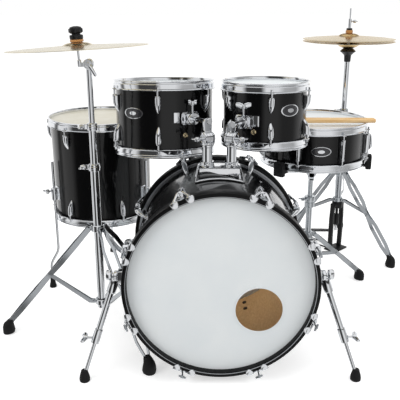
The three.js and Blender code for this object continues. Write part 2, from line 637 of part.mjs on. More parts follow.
// ---------------------------------------------------------------- floor tom
function floorTomUnit(parent) {
  const centre = floorTom.top - HOOP_RISE - floorTom.depth / 2;
  const unit = place(parent, floorTom.x, floorTom.y, centre);
  const legAt = floorTom.radius + floorLeg.standOff;
  const bracketZ = floorTom.top - floorLeg.bracketDrop - centre;
  const angles = ring(3, floorTom.lugTurn + floorLeg.turn + Math.PI / 3);
  const brackets = angles.flatMap((angle) => [
    block(26, 24, 44, legAt - 4, 0, bracketZ),
    ...wingScrew(point(legAt + 6, 0, bracketZ), point(legAt + 30, 0, bracketZ), 14),
  ].map((part) => part.rotateZ(angle)));
  const holes = angles.map((angle) => {
    const bore = rod(point(legAt, 0, -centre), point(legAt, 0, centre), floorLeg.rod + GAP, 6);
    return bore.rotateZ(angle);
  });
  drumNodes(unit, floorTom, brackets, holes);
  const kick = legAt + floorLeg.kickOut;
  const legTop = floorTom.top - floorLeg.topDrop;
  for (const [k, angle] of angles.entries()) {
    const down = (x, height) => point(x, 0, height - centre);
    const knee = down(legAt, floorLeg.kneeHeight + 50);
    const ankle = down(kick, floorLeg.kneeHeight);
    const leg = join(
      rod(down(legAt, floorLeg.kneeHeight + 48), down(legAt, legTop), floorLeg.rod, 6),
      rod(ankle, knee, floorLeg.rod, 6),
      rod(down(kick, 30), down(kick, floorLeg.kneeHeight + 2), floorLeg.rod, 6),
      rod(down(kick, 0), down(kick, 42), 13, KNOB_SIDES, 8),
    );
    piece(unit, `floor_tom_leg_${k + 1}`, leg.rotateZ(angle), chrome);
  }
}

// ---------------------------------------------------------------- stands
// Tripod round a tube: each leg is a pair of flat bars with a rubber foot, held off by a stay.
function tripod(stand) {
  const hub = stand.base + 7;
  const footTop = 26;
  const parts = [
    rod(point(0, 0, stand.legTop - 11), point(0, 0, stand.legTop + 11), hub, TUBE_SIDES),
    rod(point(0, 0, stand.legFoot - 9), point(0, 0, stand.legFoot + 9), hub, TUBE_SIDES),
  ];
  for (const angle of ring(3, stand.turn)) {
    const out = (r, z, y = 0) => point(r, y, z).applyAxisAngle(point(0, 0, 1), angle);
    const across = out(0, 0, 1);
    const legTop = out(hub + 6, stand.legTop);
    const legEnd = out(stand.radius - 4, footTop);
    const stayTop = out(hub + 6, stand.legFoot);
    const stayEnd = legTop.clone().lerp(legEnd, 0.56);
    for (const side of [-1, 1]) {
      const aside = (at, offset) => at.clone().addScaledVector(across, side * offset);
      const barEnds = [aside(legTop, strip.apart), aside(legEnd, strip.toe)];
      parts.push(flatBar(...barEnds, strip.wide, strip.thick, across));
    }
    parts.push(flatBar(stayTop, stayEnd, strip.wide - 4, strip.thick, across));
    const width = 2 * strip.apart;
    const bridge = (at) => block(6, width, 6).rotateZ(angle).translate(at.x, at.y, at.z);
    parts.push(bridge(stayEnd));
    parts.push(block(16, width, 14, hub + 4, 0, stand.legTop).rotateZ(angle));
    parts.push(block(16, 8, 12, hub + 4, 0, stand.legFoot).rotateZ(angle));
    parts.push(rod(out(stand.radius, 0), out(stand.radius, footTop + 12), 14, TUBE_SIDES, 10));
  }
  return parts;
}

// A clamp where one tube goes into the next, with its wing screw.
function tubeClamp(z, radius, angle) {
  const screw = wingScrew(point(radius, 0, z - 11), point(radius + 26, 0, z - 11));
  return [
    rod(point(0, 0, z - 22), point(0, 0, z - 1), radius + 5, TUBE_SIDES),
    ...screw.map((part) => part.rotateZ(angle)),
  ];
}

// A spun cymbal: bow, bell and hole, of even thickness.
function cymbalDisc(plan, sides) {
  const { radius, bell, bow, dome, thick, hole } = plan;
  const rise = [[radius, 0], [bell, bow], [bell * 0.68, bow + dome * 0.75], [hole, bow + dome]];
  const over = rise.map(([r, z]) => [r, z + thick]).reverse();
  return turned([...rise, ...over], sides);
}

function cymbalStandUnit(parent) {
  const s = cymbalStand;
  const unit = place(parent, s.x, s.y, 0);
  const tube = rod(point(0, 0, 70), point(0, 0, s.clampLow), s.base, TUBE_SIDES);
  const bore = rod(point(0, 0, 60), point(0, 0, s.clampLow + 10), s.middle + GAP, TUBE_SIDES);
  const standBase = cut(join(tube, tripod(s), tubeClamp(s.clampLow, s.base, 180 * DEG)), bore);
  piece(unit, "cymbal_stand_base", standBase, chrome);
  const middle = join(
    rod(point(0, 0, s.clampLow - s.inBase), point(0, 0, s.clampHigh), s.middle, TUBE_SIDES),
    tubeClamp(s.clampHigh, s.middle, 190 * DEG),
  );
  const middleBore = rod(point(0, 0, 0), point(0, 0, s.clampHigh + 10), s.upper + GAP, TUBE_SIDES);
  piece(unit, "cymbal_stand_middle_tube", cut(middle, middleBore), chrome);

  const cheek = (sideways) => rod(point(0, GAP * sideways, 0), point(0, sideways * 12, 0), 15, KNOB_SIDES);
  const upper = join(
    rod(point(0, 0, s.clampHigh - s.inMiddle - s.tilter), point(0, 0, -18), s.upper, TUBE_SIDES),
    block(16, 11.7, 24, 0, 6.15, -16), cheek(1),
    wingScrew(point(0, 2, 0), point(0, -38, 0), 16),
  );
  const top = place(unit, 0, 0, s.tilter);
  piece(top, "cymbal_stand_upper_tube", upper, chrome);

  const tilt = place(top, 0, 0, 0);
  tilt.rotation.y = s.lean;
  tilt.name = "cymbal_tilter_hinge";
  const seat = s.cymbal - s.tilter;
  const dome = crash.bow + crash.dome;
  const felt = { height: 8, radius: 17, tip: 6 };
  const boltHole = rod(point(0, 5, 0), point(0, -30, 0), turningBore(WING_SHANK, 6), 6);
  const level = (z) => point(s.rodX, -6, seat + z);
  const onRod = (from, to, radius, endRadius = radius) => {
    return rod(level(from), level(to), radius, KNOB_SIDES, endRadius);
  };
  const above = dome + crash.thick;
  const tilter = cut(join(
    cheek(-1),
    block(-s.rodX + 5, 9, 12, s.rodX / 2, -6.5, 0),
    onRod(-6 - seat, dome + 66, 3.8),
    onRod(4 - seat, dome - felt.height - 2, 6),
    onRod(dome - felt.height - 3, dome - GAP, felt.radius, felt.tip),
    onRod(above + GAP, above + 6, felt.tip, 14),
    onRod(above + 5, dome + 40, 10, 7),
    block(44, 6, 20, s.rodX, -6, seat + dome + 34),
  ), boltHole);
  piece(tilt, "cymbal_tilter", tilter, chrome);
  const cymbal = place(tilt, s.rodX, -6, seat);
  cymbal.name = "crash_cymbal_rock";
  piece(cymbal, "crash_cymbal", cymbalDisc(crash, 32), brass);
}

function hiHatUnit(parent) {
  const h = hiHat;
  const unit = place(parent, h.x, h.y, 0);
  const heelAt = 246;
  const yokeHalf = 30;
  const tubeFoot = 196;
  const railEnd = (x, side) => point(x, side * (yokeHalf - 8), 4);
  const hingeZ = 20;
  const boardHalf = 18;
  const earAt = boardHalf + GAP + EAR / 2;
  const frame = [
    block(26, 2 * yokeHalf + 8, 22, 0, 0, tubeFoot + 4),
    block(30, 2 * yokeHalf + 8, 5, 0, 0, 2.5),
    ...[-1, 1].map((side) => block(22, 5, tubeFoot, 0, side * yokeHalf, tubeFoot / 2)),
    ...[-1, 1].map((side) => rod(railEnd(0, side), railEnd(heelAt, side), 3)),
    block(34, 2 * yokeHalf, 8, heelAt, 0, 4),
    ...[-1, 1].map((side) => block(14, EAR, hingeZ + 4, heelAt, side * earAt, hingeZ / 2 + 4)),
  ].map((part) => part.rotateZ(h.board));
  const pinReach = boardHalf + EAR;
  const hinge = (radius) => rod(point(0, -pinReach, 0), point(0, pinReach, 0), radius, 8);
  const pinHole = hinge(turningBore(HINGE_PIN, 8)).translate(heelAt, 0, hingeZ).rotateZ(h.board);
  const tube = rod(point(0, 0, tubeFoot), point(0, 0, h.clamp), h.base, TUBE_SIDES);
  const bore = rod(point(0, 0, tubeFoot - 30), point(0, 0, h.clamp + 10), h.upper + GAP, TUBE_SIDES);
  const standBase = join(tube, frame, tripod(h), tubeClamp(h.clamp, h.base, 180 * DEG));
  piece(unit, "hi_hat_base", cut(standBase, bore, pinHole), chrome);

  const dome = hat.bow + hat.dome;
  const seatTop = h.edge - dome - hat.thick - GAP;
  const upper = cut(join(
    rod(point(0, 0, h.clamp - 190), point(0, 0, seatTop - 50), h.upper, TUBE_SIDES),
    rod(point(0, 0, seatTop - 52), point(0, 0, seatTop - 26), h.upper + 3, KNOB_SIDES, 14),
    rod(point(0, 0, seatTop - 27), point(0, 0, seatTop - 11), 14, KNOB_SIDES, 30),
    rod(point(0, 0, seatTop - 12), point(0, 0, seatTop), 30, KNOB_SIDES, 18),
  ), rod(point(0, 0, 0), point(0, 0, seatTop + 10), h.rod + GAP, 8));
  piece(unit, "hi_hat_upper_tube", upper, chrome);
  const bottom = cymbalDisc(hat, 28).rotateX(Math.PI).translate(0, 0, h.edge);
  piece(unit, "hi_hat_bottom_cymbal", bottom, brass);

  const lift = place(unit, 0, 0, h.edge + h.openGap - 4);
  lift.name = "hi_hat_rod_slide";
  piece(lift, "hi_hat_top_cymbal", cymbalDisc(hat, 28), brass);
  const world = (z) => z - lift.position.z;
  const boardToe = 84;
  const clutch = join(
    rod(point(0, 0, world(boardToe + 14)), point(0, 0, world(h.rodTop)), h.rod, 8),
    rod(point(0, 0, dome - 12), point(0, 0, dome - GAP), 12, TUBE_SIDES, 7),
    rod(point(0, 0, dome + hat.thick + GAP), point(0, 0, dome + hat.thick + 15), 14, TUBE_SIDES, 11),
    rod(point(0, 0, dome + hat.thick + 14), point(0, 0, dome + 52), 6.5, TUBE_SIDES),
    wingScrew(point(4, 0, dome + 42), point(26, 0, dome + 42)),
    block(5, 14, 20, 0, 0, world(boardToe + 10)).rotateZ(h.board),
  );
  piece(lift, "hi_hat_rod", clutch, chrome);

  const board = place(unit, heelAt * Math.cos(h.board), heelAt * Math.sin(h.board), hingeZ);
  board.name = "hi_hat_board_hinge";
  const length = h.boardLength;
  board.rotation.set(0, Math.atan((boardToe - 24) / length), h.board, "ZYX");
  const waist = -length * 0.7;
  const toe = boardHalf - 1;
  const tread = [
    [-length, -toe], [waist, -21], [4, -boardHalf], [4, boardHalf], [waist, 21], [-length, toe],
  ];
  piece(board, "hi_hat_footboard", join(slab(tread, 5), hinge(HINGE_PIN)), blackMetal);
}

// ---------------------------------------------------------------- snare drum and its stand
function snareUnit(parent) {
  const s = snareStand;
  const stand = place(parent, snare.x, snare.y, 0);
  const tube = rod(point(0, 0, 60), point(0, 0, s.clamp), s.base, TUBE_SIDES);
  const bore = rod(point(0, 0, 50), point(0, 0, s.clamp + 10), s.neck + GAP, TUBE_SIDES);
  const standBase = cut(join(tube, tripod(s), tubeClamp(s.clamp, s.base, 200 * DEG)), bore);
  piece(stand, "snare_stand_base", standBase, chrome);
  const yoke = 12;
  const neck = join(
    rod(point(0, 0, s.clamp - 130), point(0, 0, s.hub - 20), s.neck, TUBE_SIDES),
    block(18, 2 * yoke + 10, 10, 0, 0, s.hub - 24),
    ...[-1, 1].map((side) => block(18, 5, 34, 0, side * (yoke + 2.5), s.hub - 12)),
  );
  piece(stand, "snare_stand_neck", neck, chrome);

  const tilt = place(stand, 0, 0, s.hub);
  tilt.name = "snare_basket_hinge";
  const bottom = snare.top - 2 * HOOP_RISE - snare.depth - s.hub;
  const hoopOuter = snare.radius + HOOP_BORE + HOOP_STEEL + HOOP_LIP;
  const up = point(0, 0, 1);
  const arms = ring(3, s.armTurn).flatMap((angle) => {
    const elbow = point(hoopOuter - 20, 0, bottom - 12);
    return [
      flatBar(point(4, 0, 13), elbow, 12, 5, up),
      flatBar(point(elbow.x - 6, 0, elbow.z), point(hoopOuter + 8, 0, bottom - 10), 12, 8, up),
      block(26, 20, 9, hoopOuter - 3, 0, bottom - GAP - 4.5),
      block(9, 20, 30, hoopOuter + GAP + 4.5 + 1, 0, bottom + 6),
    ].map((part) => part.rotateZ(angle));
  });
  const hinge = rod(point(0, -yoke + GAP, 0), point(0, yoke - GAP, 0), 13, 12);
  piece(tilt, "snare_stand_basket", join(hinge, arms), chrome);

  const drum = place(tilt, 0, 0, snare.top - HOOP_RISE - snare.depth / 2 - s.hub);
  const strainerTurn = snare.lugTurn + (360 / snare.lugs) * 1.5 * DEG;
  const strainer = [
    block(14, 26, 60, snare.radius + 5, 0, -4).rotateZ(strainerTurn),
    block(12, 22, 40, snare.radius + 4, 0, -14).rotateZ(strainerTurn + Math.PI),
  ];
  drumNodes(drum, snare, strainer);
  const throwOff = place(drum, 0, 0, 0);
  throwOff.rotation.z = strainerTurn;
  const lever = place(throwOff, snare.radius + 12 + GAP + 4, 0, 18);
  lever.name = "snare_strainer_hinge";
  const leverArm = join(
    rod(point(0, -9, 0), point(0, 9, 0), 4, TUBE_SIDES),
    block(5, 12, 46, 1.5, 0, -24),
    block(8, 16, 12, 3, 0, -46),
  );
  piece(lever, "snare_strainer_lever", leverArm, chrome);
  const w = snareWires;
  const under = -snare.depth / 2 - 2 * GAP - FILM;
  const wires = join(
    block(w.length, w.width, w.thick, 0, 0, under - w.thick / 2),
    ...[-1, 1].map((side) => block(12, w.width + 6, 2.6, side * (w.length + 2) / 2, 0, under - 1.3)),
  );
  piece(drum, "snare_wires", wires.rotateZ(strainerTurn), chrome);

  for (const [k, y, turn] of [[1, -96, 0], [2, -79, -1.5 * DEG]]) {
    const lying = place(drum, 190, y, snare.depth / 2 + HOOP_RISE + GAP + stick.radius);
    lying.rotation.z = turn;
    const onStick = (x) => point(x - stick.length, 0, 0);
    const shaft = join(
      rod(point(0, 0, 0), onStick(stick.taper), stick.radius, TUBE_SIDES),
      rod(onStick(stick.taper), onStick(12), stick.radius, TUBE_SIDES, stick.tip - 2),
      new THREE.SphereGeometry(stick.tip, 6, 4).scale(1.5, 1, 1).translate(7 - stick.length, 0, 0),
    );
    piece(lying, `drumstick_${k}`, shaft, hickory);
  }
}

// ---------------------------------------------------------------- the kit
const part = new THREE.Group();
const kit = place(part, 0, 0, 0);
const bassGroup = place(kit, 0, 0, bass.frontHeight);
bassGroup.rotation.x = -bass.tilt;
bassDrum(bassGroup);
tomSaddle(bassGroup);
hungTom(bassGroup, rackLeft, hangLeft);
hungTom(bassGroup, rackRight, hangRight);
spurLeg(kit, -1);
spurLeg(kit, 1);
kickPedal(kit);
floorTomUnit(kit);
snareUnit(kit);
hiHatUnit(kit);
cymbalStandUnit(kit);
kit.updateMatrixWorld(true);
const middle = new THREE.Box3().setFromObject(kit, true).getCenter(point(0, 0, 0));
kit.position.set(-middle.x, -middle.y, 0);

export default part;
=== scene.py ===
# %% [markdown]
# # An acoustic drum kit in black lacquer and chrome
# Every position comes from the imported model, which is loaded first as a fixed frame. Each visible piece
# is then modelled at full roundness on the body that carries it: drums by turning profiles, castings by
# lofting rings, stands from tubes and strips. A reader who learns Blender can run the cells in order.

# %% Load the frame
import json
from math import atan2, cos, pi, radians, sin

import bmesh
import bpy
from mathutils import Matrix, Vector


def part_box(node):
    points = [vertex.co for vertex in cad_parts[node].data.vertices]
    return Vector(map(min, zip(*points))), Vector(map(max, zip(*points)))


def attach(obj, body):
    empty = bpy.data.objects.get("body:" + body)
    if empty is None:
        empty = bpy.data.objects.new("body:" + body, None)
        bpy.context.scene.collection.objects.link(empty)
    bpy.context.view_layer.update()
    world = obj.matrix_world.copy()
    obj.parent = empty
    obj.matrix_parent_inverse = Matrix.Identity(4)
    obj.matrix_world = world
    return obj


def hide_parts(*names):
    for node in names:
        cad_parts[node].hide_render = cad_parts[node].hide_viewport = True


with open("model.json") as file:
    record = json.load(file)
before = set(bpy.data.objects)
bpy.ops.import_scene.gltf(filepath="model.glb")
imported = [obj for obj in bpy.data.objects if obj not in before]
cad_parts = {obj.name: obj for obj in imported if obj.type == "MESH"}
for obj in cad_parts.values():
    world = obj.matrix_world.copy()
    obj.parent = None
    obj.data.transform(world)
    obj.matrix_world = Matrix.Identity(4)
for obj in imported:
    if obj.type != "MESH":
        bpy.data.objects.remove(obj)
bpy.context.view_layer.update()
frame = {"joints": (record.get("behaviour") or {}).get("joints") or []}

# %% [markdown]
# ## Places
# The model is designed in millimetres round the bass drum, and then moved so that it stands on its own
# middle. A joint whose design place is known gives that move back, so all sizes below are design sizes.
# The alternative, typing every place in the moved frame, would hide which numbers belong together.

# %% Places, in millimetres until a piece is finished
METRES = Matrix.Scale(0.001, 4)
INCH = 25.4
SNARE_X, SNARE_Y, SNARE_PIVOT = 347, 654, 440
joint = {j["name"]: j for j in frame["joints"]}
moved = Vector(joint["snare_tilt"]["pos_m"]) * 1000 - Vector((SNARE_X, SNARE_Y, SNARE_PIVOT))
KIT = Matrix.Translation(moved)
print("the kit is moved by", [round(v, 1) for v in moved])


def shift(x, y, z):
    """A move."""
    return Matrix.Translation((x, y, z))


def turn(degrees, axis):
    """A turn round one of the axes."""
    return Matrix.Rotation(radians(degrees), 4, axis)


def towards(start, end):
    """Lays +Z along the line from start to end."""
    start, end = Vector(start), Vector(end)
    return Matrix.Translation(start) @ (end - start).to_track_quat("Z", "Y").to_matrix().to_4x4()


def around(count, start):
    """Evenly spaced angles in degrees."""
    return [start + 360 * k / count for k in range(count)]


# %% [markdown]
# ## Modelling helpers
# A drum kit is mostly turned metal, so `lathe` spins a profile. Castings such as lugs and wing screws are
# soft forms that change along a line, so `loft` drags one ring from station to station. Plates are
# bevelled blocks. Modifiers could do the same, but operators in a bmesh leave a plain finished mesh.

# %% Joining parts
def merge(bm, part, where):
    """Adds a finished part to a bigger bmesh, placed by a matrix."""
    bmesh.ops.transform(part, matrix=where, verts=part.verts)
    carrier = bpy.data.meshes.new("carrier")
    part.to_mesh(carrier)
    part.free()
    bm.from_mesh(carrier)
    bpy.data.meshes.remove(carrier)


def repeat(bm, part, places):
    """Copies one part to many places."""
    carrier = bpy.data.meshes.new("carrier")
    part.to_mesh(carrier)
    part.free()
    for where in places:
        fresh = carrier.copy()
        fresh.transform(where)
        bm.from_mesh(fresh)
        bpy.data.meshes.remove(fresh)
    bpy.data.meshes.remove(carrier)


# %% Turned parts, bars and plates
def lathe(bm, profile, where=Matrix(), *, steps, closed=True):
    """Turns a profile of (radius, height) points round Z in a number of steps."""
    part = bmesh.new()
    verts = [part.verts.new((r, 0, z)) for r, z in profile]
    pairs = list(zip(verts, verts[1:])) + ([(verts[-1], verts[0])] if closed else [])
    edges = [part.edges.new(pair) for pair in pairs]
    bmesh.ops.spin(
        part, geom=verts + edges, cent=(0, 0, 0), axis=(0, 0, 1), angle=2 * pi, steps=steps, use_merge=True
    )
    bmesh.ops.remove_doubles(part, verts=part.verts, dist=1e-4)
    bmesh.ops.recalc_face_normals(part, faces=part.faces)
    merge(bm, part, where)


def bar(bm, start, end, radius, steps=20):
    """A round bar between two points."""
    length = (Vector(end) - Vector(start)).length
    bmesh.ops.create_cone(
        bm, cap_ends=True, segments=steps, radius1=radius, radius2=radius,
        depth=length, matrix=towards(start, end) @ shift(0, 0, length / 2),
    )


def plate(bm, size, where, edge):
    """A block with softened edges."""
    part = bmesh.new()
    bmesh.ops.create_cube(part, size=1, matrix=Matrix.Diagonal((*size, 1)))
    bmesh.ops.bevel(
        part, geom=part.edges[:], offset=edge, segments=2, profile=0.5, affect="EDGES", material=-1
    )
    merge(bm, part, where)


def profiled(bm, outline, thick, where, edge):
    """An outline in XZ pushed along Y, centred, with softened edges."""
    part = bmesh.new()
    face = part.faces.new([part.verts.new((x, -thick / 2, z)) for x, z in outline])
    grown = bmesh.ops.extrude_face_region(part, geom=[face])["geom"]
    far_side = [g for g in grown if isinstance(g, bmesh.types.BMVert)]
    bmesh.ops.translate(part, vec=(0, thick, 0), verts=far_side)
    bmesh.ops.recalc_face_normals(part, faces=part.faces)
    sharp = [e for e in part.edges if len(e.link_faces) == 2 and e.calc_face_angle(0) > radians(35)]
    bmesh.ops.bevel(part, geom=sharp, offset=edge, segments=2, profile=0.5, affect="EDGES", material=-1)
    merge(bm, part, where)


# %% Lofted parts
def loft(bm, rings, steps):
    """Drags a unit circle through a row of matrices and closes both ends."""
    start = bmesh.ops.create_circle(bm, cap_ends=True, segments=steps, radius=1, matrix=rings[0])["verts"]
    edges = list({e for v in start for e in v.link_edges})
    for before, after in zip(rings, rings[1:]):
        grown = bmesh.ops.extrude_edge_only(bm, edges=edges)["geom"]
        verts = {g for g in grown if isinstance(g, bmesh.types.BMVert)}
        edges = [g for g in grown if isinstance(g, bmesh.types.BMEdge) and set(g.verts) <= verts]
        bmesh.ops.transform(bm, matrix=after @ before.inverted(), verts=list(verts))
    bmesh.ops.contextual_create(bm, geom=edges)


def station(centre, wide, deep, across, normal):
    """A ring's matrix: half size wide along across, half size deep at right angles, facing normal."""
    normal, across = Vector(normal).normalized(), Vector(across).normalized()
    other = normal.cross(across)
    columns = Matrix((across * wide, other * deep, normal)).transposed()
    return Matrix.Translation(centre) @ columns.to_4x4()


def strip(bm, points, wide, thick, across):
    """A flat bar with square corners through some points; across is the direction of its width."""
    square = Matrix.Rotation(pi / 4, 4, "Z")
    corner = 2 ** 0.5
    rings = []
    for k, p in enumerate(points):
        ahead = Vector(points[min(k + 1, len(points) - 1)]) - Vector(points[max(k - 1, 0)])
        rings.append(station(p, wide / 2 * corner, thick / 2 * corner, across, ahead) @ square)
    loft(bm, rings, 4)


def tube_run(bm, points, radius, bend, side, steps=16):
    """A round tube through some points, its corners rounded; side points out of the tube's plane."""
    points = [Vector(p) for p in points]
    path = [points[0]]
    for before, corner, after in zip(points, points[1:], points[2:]):
        enter = corner + (before - corner).normalized() * bend
        leave = corner + (after - corner).normalized() * bend
        for k in range(7):
            t = k / 6
            path.append(enter * (1 - t) ** 2 + corner * 2 * t * (1 - t) + leave * t ** 2)
    path.append(points[-1])
    rings = []
    for k, p in enumerate(path):
        ahead = path[min(k + 1, len(path) - 1)] - path[max(k - 1, 0)]
        rings.append(station(p, radius, radius, side, ahead))
    loft(bm, rings, steps)


# %% Wing screws
def wing_screw(bm, start, end, span, hub=6.5, fat=2.4):
    """A shank with a hub and two rounded wings that lift a little at their tips."""
    length = (Vector(end) - Vector(start)).length
    tall_share = max(1, span / 18)
    part = bmesh.new()
    lathe(part, [
        (0, 0), (3.4, 0), (3.4, length - 13), (hub - 0.8, length - 13), (hub, length - 11.5),
        (hub - 0.6, length - 3), (hub - 2.5, length - 1), (0, length),
    ], steps=20)
    wing = [
        (2, -6, 5.5, fat), (7, -5, 6.2, fat), (12, -3.4, 6.4, fat * 0.9),
        (0.94 * span, -1.8, 4.6, fat * 0.8), (span, -1.4, 2.4, fat * 0.5),
    ]
    for side in (1, -1):
        loft(part, [
            station((side * x, 0, length + z), tall * tall_share, thin, (0, 0, 1), (side, 0, 0))
            for x, z, tall, thin in wing
        ], 14)
    merge(bm, part, towards(start, end))


print("helpers: lathe, bar, plate, profiled, loft, strip, tube_run, wing_screw")

# %% [markdown]
# ## Finishing a piece
# Each piece is placed in millimetres, turned to metres once, smoothed with sharp edges kept, and fixed to
# the body that carries it. Its object stays at the origin, so a pattern on Object coordinates keeps still.

# %% Finish and fix a piece
SHARP = radians(34)


def put(bm, name, material, body, where=Matrix(), stands_for=None):
    """Places a piece, smooths it, gives it its material and fixes it to its body.

    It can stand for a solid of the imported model, which then isn't shown.
    """
    bmesh.ops.recalc_face_normals(bm, faces=bm.faces)
    bmesh.ops.transform(bm, matrix=METRES @ KIT @ where, verts=bm.verts)
    mesh = bpy.data.meshes.new(name)
    bm.to_mesh(mesh)
    bm.free()
    mesh.shade_smooth()
    mesh.set_sharp_from_angle(angle=SHARP)
    mesh.materials.append(material)
    piece = bpy.data.objects.new(name, mesh)
    bpy.context.scene.collection.objects.link(piece)
    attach(piece, body)
    if stands_for:
        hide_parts(stands_for)
    print(f"{name}: {len(mesh.polygons)} faces on {body}")


# %% [markdown]
# ## Finishes
# Each finish starts from the real stuff: what it is made of, and how its surface was worked. Metals keep
# the shader's usual IOR. Patterns are sized in millimetres, so a helper turns a size into the scale of a
# texture. Image textures could show the same, but a node pattern has no edge and needs no file.

# %% Colour and node helpers
def linear(hex_colour):
    """sRGB hex to the linear colour that a shader wants."""
    parts = [int(hex_colour[k:k + 2], 16) / 255 for k in (1, 3, 5)]
    return (*[p / 12.92 if p <= 0.04045 else ((p + 0.055) / 1.055) ** 2.4 for p in parts], 1)


def per_mm(size):
    """The scale of a texture whose features are about this many millimetres apart."""
    return 1000 / size


def node(material, kind, inputs=None, **settings):
    """Adds a node with its settings; an input is a value or another node's output."""
    tree = material.node_tree
    made = tree.nodes.new(kind)
    for key, value in settings.items():
        setattr(made, key, value)
    for key, value in (inputs or {}).items():
        if isinstance(value, bpy.types.NodeSocket):
            tree.links.new(value, made.inputs[key])
        else:
            made.inputs[key].default_value = value
    return made


def new_finish(name, colour, roughness, metallic=0.0, **sockets):
    """A material whose constants sit on its own shader."""
    material = bpy.data.materials.new(name)
    material.use_nodes = True
    shader = material.node_tree.nodes["Principled BSDF"]
    values = {"Base Color": linear(colour), "Roughness": roughness, "Metallic": metallic}
    values.update({key.replace("_", " "): value for key, value in sockets.items()})
    for key, value in values.items():
        shader.inputs[key].default_value = value
    return material, shader


# %% Patterns
def noise(material, size, stretch=(1, 1, 1), **inputs):
    """Noise on object coordinates with features of a size in millimetres, stretched by axis."""
    place = node(material, "ShaderNodeTexCoord").outputs["Object"]
    scaled = node(material, "ShaderNodeMapping", {"Vector": place, "Scale": stretch}).outputs["Vector"]
    made = node(material, "ShaderNodeTexNoise", {"Vector": scaled, "Scale": per_mm(size), **inputs})
    return made.outputs["Fac"]


def worn(material, shader, value, low, high):
    """Lets the roughness wander between two values."""
    spread = node(material, "ShaderNodeMapRange", {"Value": value, "To Min": low, "To Max": high})
    material.node_tree.links.new(spread.outputs["Result"], shader.inputs["Roughness"])


def fill_ramp(ramp, stops):
    """Gives a colour ramp its (position, colour) stops."""
    points = ramp.color_ramp.elements
    while len(points) < len(stops):
        points.new(0.5)
    for point, (position, colour) in zip(points, stops):
        point.position, point.color = position, colour


def tinted(material, shader, value, stops):
    """Colours the shader through a ramp of (position, hex) stops."""
    ramp = node(material, "ShaderNodeValToRGB", {"Fac": value})
    fill_ramp(ramp, [(position, linear(colour)) for position, colour in stops])
    material.node_tree.links.new(ramp.outputs["Color"], shader.inputs["Base Color"])


def relief(material, shader, height, depth, strength):
    """Raises the surface by a height value; depth is in millimetres."""
    bump = node(
        material, "ShaderNodeBump", {"Height": height, "Distance": depth / 1000, "Strength": strength}
    )
    material.node_tree.links.new(bump.outputs["Normal"], shader.inputs["Normal"])


# %% [markdown]
# ### Lacquer
# The shells are maple ply in a polished black polyester lacquer: nearly black, with a hard clear coat that
# shows soft waves of orange peel a few millimetres wide. The bass hoops have a satin lacquer with little
# shine. A clear coat over a dark base gives the eye a sharp reflection on a deep colour.

# %% Lacquers
lacquer, shader = new_finish(
    "polished black lacquer", "#060607", 0.3, Coat_Weight=1.0, Coat_Roughness=0.035, Coat_IOR=1.38,
    Specular_IOR_Level=0.1,
)
relief(lacquer, shader, noise(lacquer, 7, Detail=1.0), 0.02, 0.25)
worn(lacquer, shader, noise(lacquer, 40, Detail=3.0), 0.24, 0.36)

hoop_black, shader = new_finish(
    "satin black lacquer", "#040405", 0.5, Coat_Weight=0.1, Coat_Roughness=0.2, Specular_IOR_Level=0.16
)
worn(hoop_black, shader, noise(hoop_black, 30, Detail=3.0), 0.36, 0.5)
print("lacquers made")

# %% [markdown]
# ### Chrome and other metals
# Triple-plated chrome is a mirror with a faint haze. Stand tubes carry a thinner and darker chrome, and
# stamped strips a duller one. Each metal is one colour; wear shows as roughness that wanders from place to
# place. The vents are nickelled brass, and extruded aluminium keeps fine lines from its die.

# %% Metals
chrome, shader = new_finish("chrome plate", "#edeff2", 0.07, 1.0)
worn(chrome, shader, noise(chrome, 18, Detail=4.0), 0.03, 0.1)

tube_chrome, shader = new_finish("chromed steel tube", "#c6cace", 0.08, 1.0)
worn(tube_chrome, shader, noise(tube_chrome, 16, Detail=3.0), 0.04, 0.12)

steel, shader = new_finish("plated steel strip", "#b2b6ba", 0.16, 1.0)
worn(steel, shader, noise(steel, 14, Detail=3.0), 0.1, 0.22)

alloy, shader = new_finish("extruded aluminium", "#c3c6ca", 0.32, 1.0)
worn(alloy, shader, noise(alloy, 3, stretch=(1, 1, 8)), 0.26, 0.4)

brass, shader = new_finish("nickelled brass", "#dcc9a2", 0.2, 1.0)
worn(brass, shader, noise(brass, 5, Detail=2.0), 0.14, 0.28)
print("metals made")

# %% [markdown]
# ### Drum film
# A coated head is clear film sprayed with white grit, which scatters light and takes the shine off. The
# grit is drawn at 1.6 mm, coarser than the real one, so that it shows. The floor tom's upper head is older
# and amber. Slow clouds of tone a hand's width across keep a wide head from looking flat.

# %% Coated and amber film
film, shader = new_finish("coated drum film", "#eef0f0", 0.55, Specular_IOR_Level=0.35)
relief(film, shader, noise(film, 1.6, Detail=3.0), 0.12, 0.5)
tinted(film, shader, noise(film, 90, Detail=4.0), [(0.3, "#e7ecee"), (0.7, "#ecf0f1")])

amber_film, shader = new_finish("amber drum film", "#ddd8c8", 0.35, Specular_IOR_Level=0.45)
tinted(amber_film, shader, noise(amber_film, 70, Detail=4.0), [(0.35, "#d8d3c1"), (0.65, "#e0dccd")])
relief(amber_film, shader, noise(amber_film, 2.0, Detail=2.0), 0.08, 0.4)
print("films made")

# %% [markdown]
# ### Bronze
# A cymbal is spun bronze, cut on a lathe. The tool leaves fine grooves round the hole, so the pattern
# follows the distance from the hole, which each cymbal stores as an attribute called bow. Real grooves are
# under a millimetre apart; these are drawn at 2.4 mm, the finest that still shows at arm's length.

# %% Lathed bronze
GROOVE = 2.4
LARGEST_CYMBAL = 203.2


